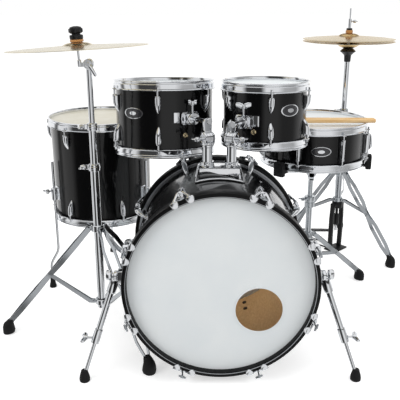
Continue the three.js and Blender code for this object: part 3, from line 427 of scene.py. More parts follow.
def lathed(name, stops):
    """Bronze whose colour runs from the hole at 0 to the largest cymbal's rim at 1."""
    bronze, shader = new_finish(name, stops[-1][1], 0.24, 1.0)
    bow = node(bronze, "ShaderNodeAttribute", attribute_name="bow").outputs["Fac"]
    across = node(bronze, "ShaderNodeCombineXYZ", {"X": bow}).outputs["Vector"]
    waves = node(
        bronze, "ShaderNodeTexNoise", {"Vector": across, "Scale": per_mm(GROOVE), "Detail": 3.0}
    ).outputs["Fac"]
    relief(bronze, shader, waves, 0.5, 0.25)
    worn(bronze, shader, waves, 0.16, 0.34)
    outwards = node(bronze, "ShaderNodeMath", {0: bow, 1: 1000 / LARGEST_CYMBAL}, operation="MULTIPLY")
    tinted(bronze, shader, outwards.outputs["Value"], stops)
    return bronze


pale_bronze = lathed("pale lathed bronze", [
    (0.0, "#d9bd8c"), (0.2, "#e3d2ae"), (0.34, "#e8dec3"), (0.8, "#ebe2c9"), (1.0, "#dfd2ae"),
])
gold_bronze = lathed("golden lathed bronze", [
    (0.0, "#c99f62"), (0.2, "#d8ba84"), (0.34, "#dcc598"), (0.8, "#e2cfa6"), (1.0, "#c9aa70"),
])
print("grooves drawn", GROOVE, "mm apart")

# %% [markdown]
# ### Wood
# The ply inside a shell is sealed maple whose grain runs round the drum. Sticks are turned hickory with
# the grain along them. One noise, stretched along the grain, gives the colour and a shallow relief.

# %% Maple and hickory
ply, shader = new_finish("sealed maple ply", "#a98358", 0.5)
grain = noise(ply, 14, stretch=(1, 1, 6), Detail=6.0, Distortion=0.6)
tinted(ply, shader, grain, [(0.3, "#9b7a50"), (0.5, "#a7865c"), (0.72, "#b39268")])
relief(ply, shader, grain, 0.08, 0.4)

hickory, shader = new_finish("turned hickory", "#e6c189", 0.42)
grain = noise(hickory, 5, stretch=(0.06, 1, 1), Detail=5.0, Distortion=0.3)
tinted(hickory, shader, grain, [(0.3, "#d3a468"), (0.52, "#e8c48f"), (0.75, "#f0d4a6")])
relief(hickory, shader, grain, 0.06, 0.4)
print("woods made")

# %% [markdown]
# ### Rubber, nylon, felt, powder coat and enamel
# Rubber feet are moulded and matt; nylon nuts and sleeves are moulded with a faint sheen. Felt washers are
# pressed wool with a fuzzy edge, so they get sheen and a deep relief. The pedals are powder coated, which
# leaves fine pits. A badge's field is baked enamel.

# %% Rubber, nylon, felt, powder coat and enamel
rubber, shader = new_finish("moulded rubber", "#171718", 0.72, Specular_IOR_Level=0.35)
relief(rubber, shader, noise(rubber, 1.2, Detail=2.0), 0.1, 0.5)
worn(rubber, shader, noise(rubber, 9, Detail=3.0), 0.6, 0.85)

nylon, shader = new_finish("moulded black nylon", "#131315", 0.38)
relief(nylon, shader, noise(nylon, 0.9, Detail=2.0), 0.04, 0.5)
worn(nylon, shader, noise(nylon, 6, Detail=2.0), 0.3, 0.46)

felt, shader = new_finish("pressed wool felt", "#c08440", 0.95, Sheen_Weight=0.5, Sheen_Roughness=0.6)
fuzz = noise(felt, 0.8, Detail=5.0, Distortion=1.2)
tinted(felt, shader, fuzz, [(0.3, "#a86a2c"), (0.7, "#d39a52")])
relief(felt, shader, fuzz, 0.4, 0.8)

coated, shader = new_finish("black powder coat", "#0f0f11", 0.42, Specular_IOR_Level=0.35)
relief(coated, shader, noise(coated, 1.4, Detail=2.0), 0.05, 0.5)
worn(coated, shader, noise(coated, 12, Detail=3.0), 0.34, 0.52)

enamel, shader = new_finish("badge enamel", "#26262a", 0.25, Coat_Weight=0.6, Coat_Roughness=0.06)
worn(enamel, shader, noise(enamel, 3, Detail=2.0), 0.2, 0.32)
print("finishes", len(bpy.data.materials))

# %% [markdown]
# ## The bass drum's frame
# The bass drum lies on its side and dips a little to the rear. `STANDING` is its frame with Z up, and `LAID`
# turns a part that was made round Z so that Z points to the audience. Making round parts upright keeps
# each profile readable as radius and height.

# %% Sizes that the drums share
GAP = 0.3
HEAD_FILM = 0.6
RING_ROOM = 0.6
ROD_AXIS = 13
TEN, TWELVE, FOURTEEN = 127, 152.4, 177.8
BASS = dict(radius=254, depth=406.4, wall=7.5, ring=6, hoop=272, width=40, lip=258, reveal=21.5, rod=282)
BASS_ANGLES = around(8, 22.5)
BASS_AXIS, BASS_MIDDLE, BASS_DIP = 294, 224.7, 1.2
STANDING = shift(0, 0, BASS_AXIS) @ turn(-BASS_DIP, "X")
LAID = STANDING @ shift(0, BASS_MIDDLE, 0) @ turn(90, "X")
EDGE = BASS["depth"] / 2
FACE = EDGE + BASS["reveal"]
LUG_TOP = EDGE - 46
print("bass drum", BASS["radius"] * 2, "mm across")

# %% [markdown]
# ### Shells
# A drum shell is a thin tube of bent ply, cut at 45 degrees so that the head rests on a fine edge. It is
# turned from two profiles, because the outside is lacquered and the inside is bare maple.

# %% Shells
def shell(name, body, radius, depth, wall, where):
    """A lacquered outside and a bare inside that meet on the two edges."""
    half, middle = depth / 2, radius - wall / 2
    bm = bmesh.new()
    lathe(bm, [
        (middle, -half + wall / 2), (radius - 0.8, -half), (radius, -half + 0.8), (radius, half - 0.8),
        (radius - 0.8, half), (middle, half - wall / 2),
    ], steps=128)
    put(bm, f"{name}_lacquer", lacquer, body, where, name)
    bm = bmesh.new()
    lathe(bm, [
        (radius - wall, wall - half), (middle, wall / 2 - half), (middle, half - wall / 2),
        (radius - wall, half - wall),
    ], steps=128)
    put(bm, f"{name}_ply", ply, body, where)


shell("bass_shell", "kit", BASS["radius"], BASS["depth"], BASS["wall"], LAID)

# %% [markdown]
# ### Wooden bass hoops
# Each hoop is a wide band of lacquered ply with softened edges, with a thin bright strip let into its front.
# It sits over the head and is pulled on by claws. One closed profile gives the band and its step.

# %% Bass drum hoops
def bass_hoop(name, side):
    """The front hoop has side 1 and the rear hoop side -1."""
    lip, outer = BASS["lip"], BASS["hoop"]
    step = EDGE + HEAD_FILM + 2 * GAP
    inner = BASS["radius"] + RING_ROOM + BASS["ring"] + GAP
    back = FACE - BASS["width"]
    points = [
        (lip, step), (lip, FACE - 3), (lip + 1, FACE - 1), (lip + 3.5, FACE), (outer - 3.5, FACE),
        (outer - 1, FACE - 1), (outer, FACE - 3.5), (outer, back + 3), (outer - 1, back + 1),
        (outer - 3, back), (inner, back), (inner, step),
    ]
    bm = bmesh.new()
    lathe(bm, [(r, side * z) for r, z in points], steps=160)
    put(bm, name, hoop_black, "kit", LAID, name)


bass_hoop("bass_front_hoop", 1)
bass_hoop("bass_rear_hoop", -1)
inlay = ((260, -0.4), (261.6, -0.4), (261.5, 0.25), (260.1, 0.25))
bm = bmesh.new()
for side in (1, -1):
    lathe(bm, [(r, side * (FACE + z)) for r, z in inlay], steps=160)
put(bm, "bass_hoop_inlay", alloy, "kit", LAID)

# %% [markdown]
# ### Claws
# A claw is cast and chromed: two soft prongs grow out of a seat for the rod, run over the hoop and press on
# its front face with a round pad each. A rod with a T handle pulls the seat towards the lug on the shell.
# A prong changes in width and thickness all along, so it is lofted; the seat and the pads are turned.

# %% Claws, rods and handles
def prong(bm, lean):
    """One prong; a station is radius, height, distance aside, half width and half thickness."""
    aside = 22.5
    path = [
        (286, EDGE - 8, 6, 5, 4), (284.5, EDGE - 2, 9, 5.4, 4.4), (281, EDGE + 6, 14, 4.4, 3.6),
        (277.8, EDGE + 14, 19, 4.2, 3), (275.4, EDGE + 20, 22, 6, 2.8), (274.6, FACE - 1, aside, 10, 2.3),
        (273.4, FACE + 2.4, aside, 11, 2.2), (271, FACE + 3, aside, 11, 2),
        (266, FACE + 2.8, aside, 10.2, 1.8), (262, FACE + 2, aside, 7.6, 1.5),
        (260.4, FACE + 1.2, aside, 4, 0.9),
    ]
    rings = []
    for k, (r, z, out, wide, thick) in enumerate(path):
        nearer, further = path[max(k - 1, 0)], path[min(k + 1, len(path) - 1)]
        ahead = (further[0] - nearer[0], 0, further[1] - nearer[1])
        rings.append(station((r, lean * out, z), wide, thick, (0, 1, 0), ahead))
    loft(bm, rings, 20)
    pad = [(0, 0), (9.4, 0), (9.4, 2.6), (8.6, 3.6), (0, 3.9)]
    lathe(bm, pad, shift(267, lean * aside, FACE + 0.3), steps=32)


def claws(name, side):
    """Eight claws with their rods, and their T handles."""
    rod = BASS["rod"]
    flip = turn(180, "X") if side < 0 else Matrix()
    places = [turn(a, "Z") @ flip for a in BASS_ANGLES]
    part = bmesh.new()
    for lean in (1, -1):
        prong(part, lean)
    lathe(part, [
        (3.2, EDGE - 10), (7.5, EDGE - 10), (8.5, EDGE - 8), (8.5, EDGE + 1), (6.5, EDGE + 3.5),
        (3.2, EDGE + 3.5),
    ], shift(rod, 0, 0), steps=28)
    bar(part, (rod, 0, LUG_TOP), (rod, 0, FACE + 12), 3)
    bm = bmesh.new()
    repeat(bm, part, places)
    put(bm, f"{name}_claws", chrome, "kit", LAID)

    part = bmesh.new()
    handle = [(-11, 1.8), (-10.4, 3), (-7, 3), (-4, 3.8), (0, 4.6), (4, 3.8), (7, 3), (10.4, 3), (11, 1.8)]
    loft(part, [station((rod, y, FACE + 13.4), r, r, (1, 0, 0), (0, 1, 0)) for y, r in handle], 16)
    bm = bmesh.new()
    repeat(bm, part, places)
    put(bm, f"{name}_handles", steel, "kit", LAID)


claws("bass_front", 1)
claws("bass_rear", -1)

# %% [markdown]
# ### Lugs
# A lug is a teardrop casting on the shell: broad where the tension rod screws into it, and drawn out to a
# round point towards the middle of the shell. It is lofted along its length, and its swivel nut is turned.
# One lug is made and then copied round the drum, once for each head.

# %% Teardrop lugs
LUG_WIDE = 19
BASS_LUG_LENGTH, BASS_ROD_AXIS = 48, BASS["rod"] - BASS["radius"]


def teardrop(bm, radius, top, length, rod_axis):
    """A row of rings from the rod's end down to the point; each has its share of width and height."""
    proud = rod_axis + 6
    shape = [
        (0, 0.84, 0.86), (1.2, 0.94, 0.95), (4, 1.0, 1.0), (0.3 * length, 1.0, 1.0),
        (0.46 * length, 0.97, 0.95), (0.6 * length, 0.89, 0.82), (0.72 * length, 0.77, 0.65),
        (0.83 * length, 0.61, 0.46), (0.91 * length, 0.44, 0.3), (0.965 * length, 0.28, 0.18),
        (0.99 * length, 0.15, 0.1), (length, 0.04, 0.04),
    ]
    rings = []
    for down, share, height in shape:
        deep = (proud * height + 4) / 2
        centre = (radius - 4 + deep, 0, top - down)
        rings.append(station(centre, LUG_WIDE / 2 * share, deep, (0, 1, 0), (0, 0, -1)))
    loft(bm, rings, 24)
    nut = [(3.1, -6), (6.6, -6), (6.9, 0.5), (6.2, 1.8), (3.4, 1.8)]
    lathe(bm, nut, shift(radius + rod_axis, 0, top), steps=24)


def lugs(name, body, radius, top, length, rod_axis, angles, where):
    """One lug for either head at each angle."""
    part = bmesh.new()
    teardrop(part, radius, top, length, rod_axis)
    bm = bmesh.new()
    repeat(bm, part, [turn(a, "Z") @ flip for a in angles for flip in (Matrix(), turn(180, "X"))])
    put(bm, name, chrome, body, where)


lugs("bass_lugs", "kit", BASS["radius"], LUG_TOP, BASS_LUG_LENGTH, BASS_ROD_AXIS, BASS_ANGLES, LAID)
screw_head = [(0, 0), (7.6, 0), (6.8, 2.6), (0, 3.6)]
part = bmesh.new()
for end in (1, -1):
    for step in (-22, 22):
        seat = shift(BASS["radius"] - BASS["wall"], 0, end * (LUG_TOP - 20) + step)
        lathe(part, screw_head, seat @ turn(-90, "Y"), steps=16)
bm = bmesh.new()
repeat(bm, part, [turn(a, "Z") for a in BASS_ANGLES])
put(bm, "bass_lug_screws", coated, "kit", LAID)

# %% [markdown]
# ### Heads
# A head is a film in an aluminium flesh ring, so each head is a turned film on a turned ring. The bass
# drum's front film has a round port off its middle. No lathe can make that, so the film is bridged between
# two circles, the rim and the port, and then given its thickness. A moulded white rim edges the port.

# %% Bass drum heads
def flesh_ring(name, body, radius, wide, edge, side, where):
    """The aluminium ring of a head, hooked over the shell's edge."""
    inner = radius + RING_ROOM
    outer = inner + wide
    points = [(inner, -9), (outer, -9), (outer, -1.5), (outer - 1.2, 0.1), (inner, 0.1)]
    bm = bmesh.new()
    lathe(bm, [(r, side * (edge + z)) for r, z in points], steps=96)
    put(bm, name, alloy, body, where)


def head_film(name, body, radius, wide, edge, side, where, finish):
    """A film stretched over its ring, with a collar that turns down at the rim."""
    outer = radius + RING_ROOM + wide - 0.4
    points = [
        (0, 0.35), (outer - 1, 0.35), (outer - 0.4, -0.6), (outer, -0.6), (outer - 0.2, 0.5),
        (outer - 1, 0.9), (radius - 14, 0.9), (radius - 22, 0.86), (0, 0.86),
    ]
    bm = bmesh.new()
    lathe(bm, [(r, side * (edge + z)) for r, z in points], steps=96, closed=False)
    put(bm, name, finish, body, where, name)


PORT, PORT_RADIUS, FILM_RIM = shift(106, -72, 0), 66.5, 258.5
bm = bmesh.new()
for radius, place, steps in ((FILM_RIM, Matrix(), 160), (PORT_RADIUS, PORT, 96)):
    bmesh.ops.create_circle(bm, segments=steps, radius=radius, matrix=place @ shift(0, 0, EDGE + 0.35))
bmesh.ops.bridge_loops(bm, edges=bm.edges[:])
bmesh.ops.recalc_face_normals(bm, faces=bm.faces)
bmesh.ops.solidify(bm, geom=bm.faces[:], thickness=0.5)
put(bm, "bass_front_film", film, "kit", LAID, "bass_front_head")
bm = bmesh.new()
lathe(bm, [
    (65.4, -0.6), (66.4, -0.6), (66.4, 0.0), (69.5, 0.9), (69.2, 1.7), (66.5, 1.9), (65.4, 1.3),
], PORT @ shift(0, 0, EDGE + 0.3), steps=96)
put(bm, "bass_port_rim", film, "kit", LAID)
flesh_ring("bass_front_ring", "kit", BASS["radius"], BASS["ring"], EDGE, 1, LAID)
flesh_ring("bass_rear_ring", "kit", BASS["radius"], BASS["ring"], EDGE, -1, LAID)
head_film("bass_batter_head", "kit", BASS["radius"], BASS["ring"], EDGE, -1, LAID, film)

# %% [markdown]
# ### Steel hoops
# The hoops of the other drums are pressed from steel sheet with three flanges: a rolled lip on top, a step
# that sits on the head, and a flange at the bottom with an ear for every rod. The section is turned, and an
# ear with its rod, square head and washer is made once and copied round.

# %% Triple-flanged hoops with their rods
def steel_hoop(name, body, radius, edge, side, lug_gap, angles, where):
    """A hoop with its rods; side is 1 on top of the drum and -1 below it."""
    section = [
        (2, 1.3), (2, 10.2), (2.6, 12), (4.4, 12.5), (8.2, 12.4), (9, 11.6), (8.6, 10.5), (5.6, 10.1),
        (4.4, 9.0), (4, 7.6), (4, 4.6), (4.7, 3.4), (6.5, 2.9), (7.3, 1.9), (7.3, -9.6), (8, -11.6),
        (10.4, -12.5), (11.4, -13.2), (11.4, -14.4), (10.6, -15), (7.6, -14.8), (5.8, -13.2), (5.3, -11),
        (5.3, 1.3),
    ]
    bm = bmesh.new()
    lathe(bm, [(radius + r, side * (edge + z)) for r, z in section], steps=112)
    ear = [
        (radius + 5.6, -16), (radius + 10, -13.5), (radius + 14, -9), (radius + 18, -6),
        (radius + 19.2, -2.5),
    ]
    part = bmesh.new()
    outline = ear + [(r, -y) for r, y in reversed(ear)]
    profiled(part, outline, 2.6, shift(0, 0, edge - 13.8) @ turn(90, "X"), 0.8)
    at = radius + ROD_AXIS
    lathe(part, [(0, 0), (6, 0), (6.2, 0.6), (5.4, 1.5), (0, 1.5)], shift(at, 0, edge - 12.5), steps=20)
    plate(part, (5.8, 5.8, 8), shift(at, 0, edge - 7.4), 0.9)
    bar(part, (at, 0, edge - 13), (at, 0, edge - 15 - lug_gap + 0.4), 2.9, steps=14)
    flip = Matrix() if side > 0 else turn(180, "X")
    repeat(bm, part, [turn(a, "Z") @ flip for a in angles])
    put(bm, name, chrome, body, where, name)


# %% [markdown]
# ### Badges and vents
# A badge is a small pressed oval on the shell, here left blank. It is lofted flat and then bent to the
# shell's curve, which is simpler than modelling it curved. The vent is a nickelled grommet that lets the
# air out of a shell.

# %% Badges and vents
def badge(name, body, radius, angle, height, where, wide, tall):
    """Three ovals on one another: a bright rim, an enamelled field and a bright boss."""
    for part_name, grow, out, finish, slot in (
        (f"{name}_rim", 1.0, 1.6, chrome, "chrome"), (f"{name}_field", 0.9, 2.0, enamel, "black_plastic"),
        (f"{name}_boss", 0.36, 2.8, chrome, "chrome"),
    ):
        half_wide, half_tall = wide / 2 * grow, tall / 2 * grow
        layers = [(0, 1), (out - 0.5, 1), (out, 0.95), (out + 0.15, 0.6), (out + 0.2, 0.05)]
        part = bmesh.new()
        loft(part, [
            station((radius - 0.5 + x, 0, height), half_wide * a, half_tall * a, (0, 1, 0), (1, 0, 0))
            for x, a in layers
        ], 48)
        for vert in part.verts:
            vert.co.x -= radius - (radius ** 2 - vert.co.y ** 2) ** 0.5
        bm = bmesh.new()
        merge(bm, part, turn(angle, "Z"))
        put(bm, part_name, finish, body, where)


def vent(name, body, radius, angle, height, where):
    """A grommet with a rounded flange and a hole through it."""
    bm = bmesh.new()
    lathe(bm, [
        (1.7, -6), (3, -6), (3, 0.1), (7.8, 0.1), (7.6, 1.1), (6.2, 2), (3.2, 2.3), (1.9, 1.7), (1.7, 0.6),
    ], turn(angle, "Z") @ shift(radius, 0, height) @ turn(90, "Y"), steps=32)
    put(bm, name, brass, body, where)


# %% [markdown]
# ### Toms and snare drum
# One recipe makes all four: shell, lugs, two hoops, two heads and the small trim. Only sizes and places
# differ, so they are arguments. The snare drum's own lugs come later, as they are of another pattern.

# %% The recipe of a drum
RING_WIDE = 4.4


def drum(name, body, radius, depth, wall, angles, lug_gap, lug_length, where, top_film=film):
    """A drum round Z; lug_gap is the rod's free length, and no lug_length means no teardrop lugs."""
    edge = depth / 2
    shell(f"{name}_shell", body, radius, depth, wall, where)
    if lug_length:
        lugs(f"{name}_lugs", body, radius, edge - 15 - lug_gap, lug_length, ROD_AXIS, angles, where)
    for side, hoop, head, finish in (
        (1, "top_hoop", "batter_head", top_film), (-1, "bottom_hoop", "resonant_head", film),
    ):
        steel_hoop(f"{name}_{hoop}", body, radius, edge, side, lug_gap, angles, where)
        head_film(f"{name}_{head}", body, radius, RING_WIDE, edge, side, where, finish)
        flesh_ring(f"{name}_{head}_ring", body, radius, RING_WIDE, edge, side, where)


# %% [markdown]
# ### Where the drums are
# Each tom hangs on a holder with four frames: the post, which turns; the ratchet head on it; the arm, which
# tilts; and the tom at the arm's end. Each frame is built on the last, so the parts stay together when a
# number changes.

# %% Frames of the two tom holders
HANG = {
    "left": dict(
        side=-1, rise=53, turn=122, reach=107.2, lift=4.8, tilt=3, roll=2, radius=TWELVE,
        screw_at=0.6, screw_span=6,
    ),
    "right": dict(
        side=1, rise=45, turn=57.6, reach=67.5, lift=-12.2, tilt=0.7, roll=-0.5, radius=TEN,
        screw_at=0.34, screw_span=23,
    ),
}
SADDLE_Y, POST_ASIDE = 221, 35
PIVOT, ROD_ASIDE, ROD_BELOW = 371, -5.8, 5.2


def holder(side):
    """The frames of a tom holder, each built on the one before."""
    h = HANG[side]
    post = STANDING @ shift(POST_ASIDE * h["side"], SADDLE_Y, 0)
    head = post @ turn(h["turn"], "Z")
    arm = head @ shift(0, 0, PIVOT) @ turn(h["tilt"], "Y")
    hung = arm @ shift(h["reach"] + h["radius"], ROD_ASIDE, h["rise"] - ROD_BELOW) @ turn(h["roll"], "X")
    tom = hung @ shift(0, 0, -h["lift"]) @ turn(-h["turn"], "Z")
    return dict(post=post, head=head, arm=arm, tom=tom)


HOLDER = {side: holder(side) for side in HANG}
LEFT, RIGHT = HOLDER["left"]["tom"], HOLDER["right"]["tom"]
print("holders", {side: [round(v) for v in frames["tom"].translation] for side, frames in HOLDER.items()})

# %% Toms, floor tom and snare drum
HOOP_RISE = 12.5
FLOOR_X, FLOOR_Y, FLOOR_TOP, FLOOR_DEPTH = -421, 745, 634, 13.7 * INCH
FLOOR_MIDDLE = FLOOR_TOP - HOOP_RISE - FLOOR_DEPTH / 2
FLOOR = shift(FLOOR_X, FLOOR_Y, FLOOR_MIDDLE)
SNARE_TOP, SNARE_DEPTH = 638, 127
SNARE_EDGE = SNARE_DEPTH / 2
SNARE_ANGLES = around(8, -69.2)
SNARE = shift(SNARE_X, SNARE_Y, SNARE_TOP - HOOP_RISE - SNARE_EDGE)
drum("left_tom", "left_tom", TWELVE, 203.2, 6, around(6, -93.6), 16, 52, LEFT)
drum("right_tom", "right_tom", TEN, 171.45, 6, around(6, -88), 12, 46, RIGHT)
drum("floor_tom", "kit", FOURTEEN, FLOOR_DEPTH, 6, around(6, -1), 14, 52, FLOOR, amber_film)
drum("snare", "snare_basket", FOURTEEN, SNARE_DEPTH, 5, SNARE_ANGLES, 12, 0, SNARE)
badge("left_tom_badge", "left_tom", TWELVE, -124.8, 19, LEFT, 70, 33)
badge("right_tom_badge", "right_tom", TEN, -60, 20, RIGHT, 62, 35)
badge("snare_badge", "snare_basket", FOURTEEN, -91, -4, SNARE, 68, 33)
vent("left_tom_vent", "left_tom", TWELVE, -63, -46, LEFT)
vent("right_tom_vent", "right_tom", TEN, -110, -42, RIGHT)
print("drums placed")

# %% [markdown]
# ### Snare lugs
# A snare drum's lugs are long ovals that reach both hoops, with a swivel nut at either end. Lofting from end
# to end gives the rounded box in one go.

# %% Snare lugs
part = bmesh.new()
half = 34
shape = [
    (-half, 0.5, 0.6), (-half + 1.4, 0.86, 0.86), (-half + 5, 1, 1), (-half * 0.4, 1, 0.98),
    (half * 0.4, 1, 0.98), (half - 5, 1, 1), (half - 1.4, 0.86, 0.86), (half, 0.5, 0.6),
]
rings = []
for z, share, height in shape:
    deep = (19 * height + 4) / 2
    rings.append(station((FOURTEEN - 4 + deep, 0, z), 7.4 * share, deep, (0, 1, 0), (0, 0, 1)))
loft(part, rings, 20)
nut = [(3.1, -5), (6.4, -5), (6.4, 1), (5.8, 1.8), (3.2, 1.8)]
for z, flip in ((half, Matrix()), (-half, turn(180, "X"))):
    lathe(part, nut, shift(FOURTEEN + ROD_AXIS, 0, z) @ flip, steps=24)
bm = bmesh.new()
repeat(bm, part, [turn(a, "Z") for a in SNARE_ANGLES])
put(bm, "snare_lugs", chrome, "snare_basket", SNARE)

# %% [markdown]
# ### Strainer and wires
# Under the drum lie twenty coiled wires between two plates. A throw-off with a lever pulls them against the
# lower head, and a butt plate holds their other end. A wire is drawn as a plain rod, since its coils are
# finer than anything this view shows.

# %% Snare strainer, butt plate and wires
STRAINER = SNARE_ANGLES[0] + 45 * 1.5
front, rear = turn(STRAINER, "Z"), turn(STRAINER + 180, "Z")
bm = bmesh.new()
plate(bm, (4, 26, 60), front @ shift(179.5, 0, -4), 1.2)
plate(bm, (10, 36, 62), front @ shift(184, 0, 0), 3)
lathe(bm, [(0, 0), (5.5, 0), (6, 1), (6, 8), (4.8, 9), (0, 9)], front @ shift(186, 0, -34), steps=24)
plate(bm, (4, 22, 40), rear @ shift(179.5, 0, -14), 1.2)
plate(bm, (8, 18, 22), rear @ shift(183.5, 0, -18), 2.5)
for z in (-8, -26):
    bar(bm, rear @ Vector((186, -5, z)), rear @ Vector((189.5, -5, z)), 2.6)
put(bm, "snare_strainer", chrome, "snare_basket", SNARE)

LEVER = SNARE @ front @ shift(FOURTEEN + 12 + GAP + 4, 0, 18)
lever = ((4.2, 10, 2.6), (-3, 13, 6), (-24, 14, 8), (-40, 13, 9), (-48, 11, 8), (-54, 7, 5))
bm = bmesh.new()
bar(bm, (0, -9, 0), (0, 9, 0), 4)
loft(bm, [
    station((2 + thick * 0.7, 0, z), wide, thick, (0, 1, 0), (0, 0, -1)) for z, wide, thick in lever
], 16)
put(bm, "snare_strainer_lever", chrome, "strainer_lever", LEVER, "snare_strainer_lever")

under = -SNARE_EDGE - 1.2
wires, spacing = 20, 1.8
bm = bmesh.new()
for side in (1, -1):
    plate(bm, (12, 40, 2.4), shift(side * 146, 0, under - 1.3), 0.8)
for k in range(wires):
    aside = (k - (wires - 1) / 2) * spacing
    bar(bm, (-142, aside, under - 1), (142, aside, under - 1), 0.75, steps=8)
bmesh.ops.transform(bm, matrix=front, verts=bm.verts)
put(bm, "snare_wires", chrome, "snare_basket", SNARE, "snare_wires")

# %% [markdown]
# ## Tom holder
# A cast saddle on the shell carries two chromed posts. On each post sits a ratchet head with two toothed
# discs, and an arm reaches from it into a bracket on the tom. Wing screws clamp every place where a tube
# slides. The saddle's outline is pushed through its depth. A border laid on each face leaves a sunk panel,
# and a bead runs along the curved foot.

# %% Saddle on the bass drum
SADDLE_TOP, SADDLE_FOOT, SADDLE_FACE = 291, 256.2, 28
lower = [(x, (SADDLE_FOOT ** 2 - x ** 2) ** 0.5) for x in range(70, -71, -14)]
corner = lower[0][1]
casting = [
    (-70, corner + 4), (-62.5, SADDLE_TOP - 5), (-61, SADDLE_TOP - 2), (-57.5, SADDLE_TOP),
    (57.5, SADDLE_TOP), (61, SADDLE_TOP - 2), (62.5, SADDLE_TOP - 5), (70, corner + 4), *lower,
]
panel = [
    (-57, SADDLE_TOP - 4), (57, SADDLE_TOP - 4), (60.5, 262), *[(x * 0.86, z + 5) for x, z in lower],
    (-60.5, 262),
]
bm = bmesh.new()
profiled(bm, casting, 2 * SADDLE_FACE, shift(0, SADDLE_Y, 0), 2)
for face in (-1, 1):
    border = bmesh.new()
    ring = [border.verts.new((x, 0, z)) for x, z in casting]
    hole = [border.verts.new((x, 0, z)) for x, z in panel]
    loops = [border.edges.new(pair) for line in (ring, hole) for pair in zip(line, line[1:] + line[:1])]
    bmesh.ops.triangle_fill(border, edges=loops, use_beauty=True)
    bmesh.ops.solidify(border, geom=border.faces[:], thickness=2.4)
    merge(bm, border, shift(0, SADDLE_Y + face * SADDLE_FACE, 0))
for face in (-1, 1):
    y = SADDLE_Y + face * (SADDLE_FACE + 1)
    bead = [Vector((x * 0.985, y, z + 2.4)) for x, z in lower]
    tube_run(bm, [bead[0], *bead[1:-1:2], bead[-1]], 2.3, 6, (0, 1, 0), 10)
    for side in (-1, 1):
        bar(bm, (side * 69, y, corner + 3), (side * 60.6, y, SADDLE_TOP - 3), 2.2, steps=10)
print("saddle", SADDLE_TOP, "mm over the drum's axis")

# %% Sockets of the posts, and the gasket under the saddle
for side in (-1, 1):
    x, z = POST_ASIDE * side, SADDLE_TOP + 7
    lathe(bm, [
        (14.7, 270), (18, 270), (21, SADDLE_TOP - 0.2), (19.6, SADDLE_TOP + 1.6), (19, SADDLE_TOP + 3),
        (19, SADDLE_TOP + 8.4), (20, SADDLE_TOP + 9.4), (20, SADDLE_TOP + 12), (18.8, SADDLE_TOP + 13),
        (14.7, SADDLE_TOP + 13),
    ], shift(x, SADDLE_Y, 0), steps=40)
    wing_screw(bm, (x, SADDLE_Y - 15, z), (x, SADDLE_Y - 38, z), 12)
put(bm, "tom_saddle", chrome, "kit", STANDING, "tom_saddle")
bm = bmesh.new()
gasket = [(x * 1.015, z) for x, z in lower[::-1]] + [(x * 1.015, z - 1.9) for x, z in lower]
profiled(bm, gasket, 60, shift(0, SADDLE_Y, 0), 0.3)
put(bm, "saddle_gasket", rubber, "kit", STANDING)

# %% [markdown]
# ### Posts and ratchet heads
# A post is a plain chromed tube. The head on it is a casting that forks round the arm's disc; the two cheeks
# are cups with a raised band, drawn together by a bolt with a wing on one end and a hexagon on the other.
# Every form here is round or a plate, so the lathe and a bevelled outline do it all.

# %% Posts and ratchet heads
def cheek(bm, y_in, y_out, radius):
    """Half of the ratchet barrel, a turned cup with a raised band round it."""
    out = 1 if y_out > y_in else -1
    deep = abs(y_out - y_in)
    lathe(bm, [
        (0, 0), (radius - 1.2, 0), (radius - 0.5, 0.7), (radius - 0.5, 1.3), (radius, 1.8),
        (radius, deep - 2.8), (radius - 1, deep - 1.1), (radius - 3, deep), (radius - 8, deep),
        (radius - 9, deep - 0.8), (0, deep - 0.8),
    ], shift(0, y_in, PIVOT) @ turn(-90 * out, "X"), steps=48)


for side, h in HANG.items():
    bm = bmesh.new()
    lathe(bm, [(12.5, 179), (13.8, 179), (14.3, 180), (14.3, 345.2), (13.8, 346), (12.5, 346)], steps=48)
    post = f"{side}_tom_post"
    put(bm, post, chrome, f"{side}_post", HOLDER[side]["post"], post)

    away = -h["side"]
    bm = bmesh.new()
    lathe(bm, [
        (0, 316), (11, 316), (11, 346.3), (15.2, 346.3), (16.3, 347.2), (16.3, 350), (14.6, 352.4),
        (14, 360), (0, 360),
    ], steps=40)
    cheek(bm, 10.3, 16.8, 19.5)
    cheek(bm, -10.3, -16.8, 19.5)
    fork = [(-16.4, 353), (-13, 350), (13, 350), (16.4, 353), (16.4, 362), (-16.4, 362)]
    profiled(bm, fork, 26, turn(90, "Z"), 2)
    bar(bm, (0, -16, PIVOT), (0, 16, PIVOT), 3.5)
    wing_screw(bm, (0, away * 14, PIVOT), (0, away * 42, PIVOT), 17, 7.5, 3)
    hexagon = [(0, 0), (6, 0), (6.6, 0.6), (6.6, 3.4), (5.6, 4.4), (0, 4.4)]
    lathe(bm, hexagon, shift(0, -away * 15.8, PIVOT) @ turn(90 * away, "X"), steps=6)
    head = f"{side}_tom_ratchet_head"
    put(bm, head, chrome, f"{side}_ratchet", HOLDER[side]["head"], head)

# %% [markdown]
# ### Arms
# An arm is one casting: a grooved disc that turns between the cheeks, a tall paddle with a round top, and a
# rod that reaches into the tom's bracket. A thin aluminium plate covers either side of the paddle. The
# paddle is an outline with a semicircle on top, which an arch of points draws more simply than a cut.

# %% Arms with their paddles
def arch(radius, middle):
    """A semicircle of points, from right to left over the top."""
    return [(radius * cos(radians(a)), middle + radius * sin(radians(a))) for a in range(0, 181, 15)]


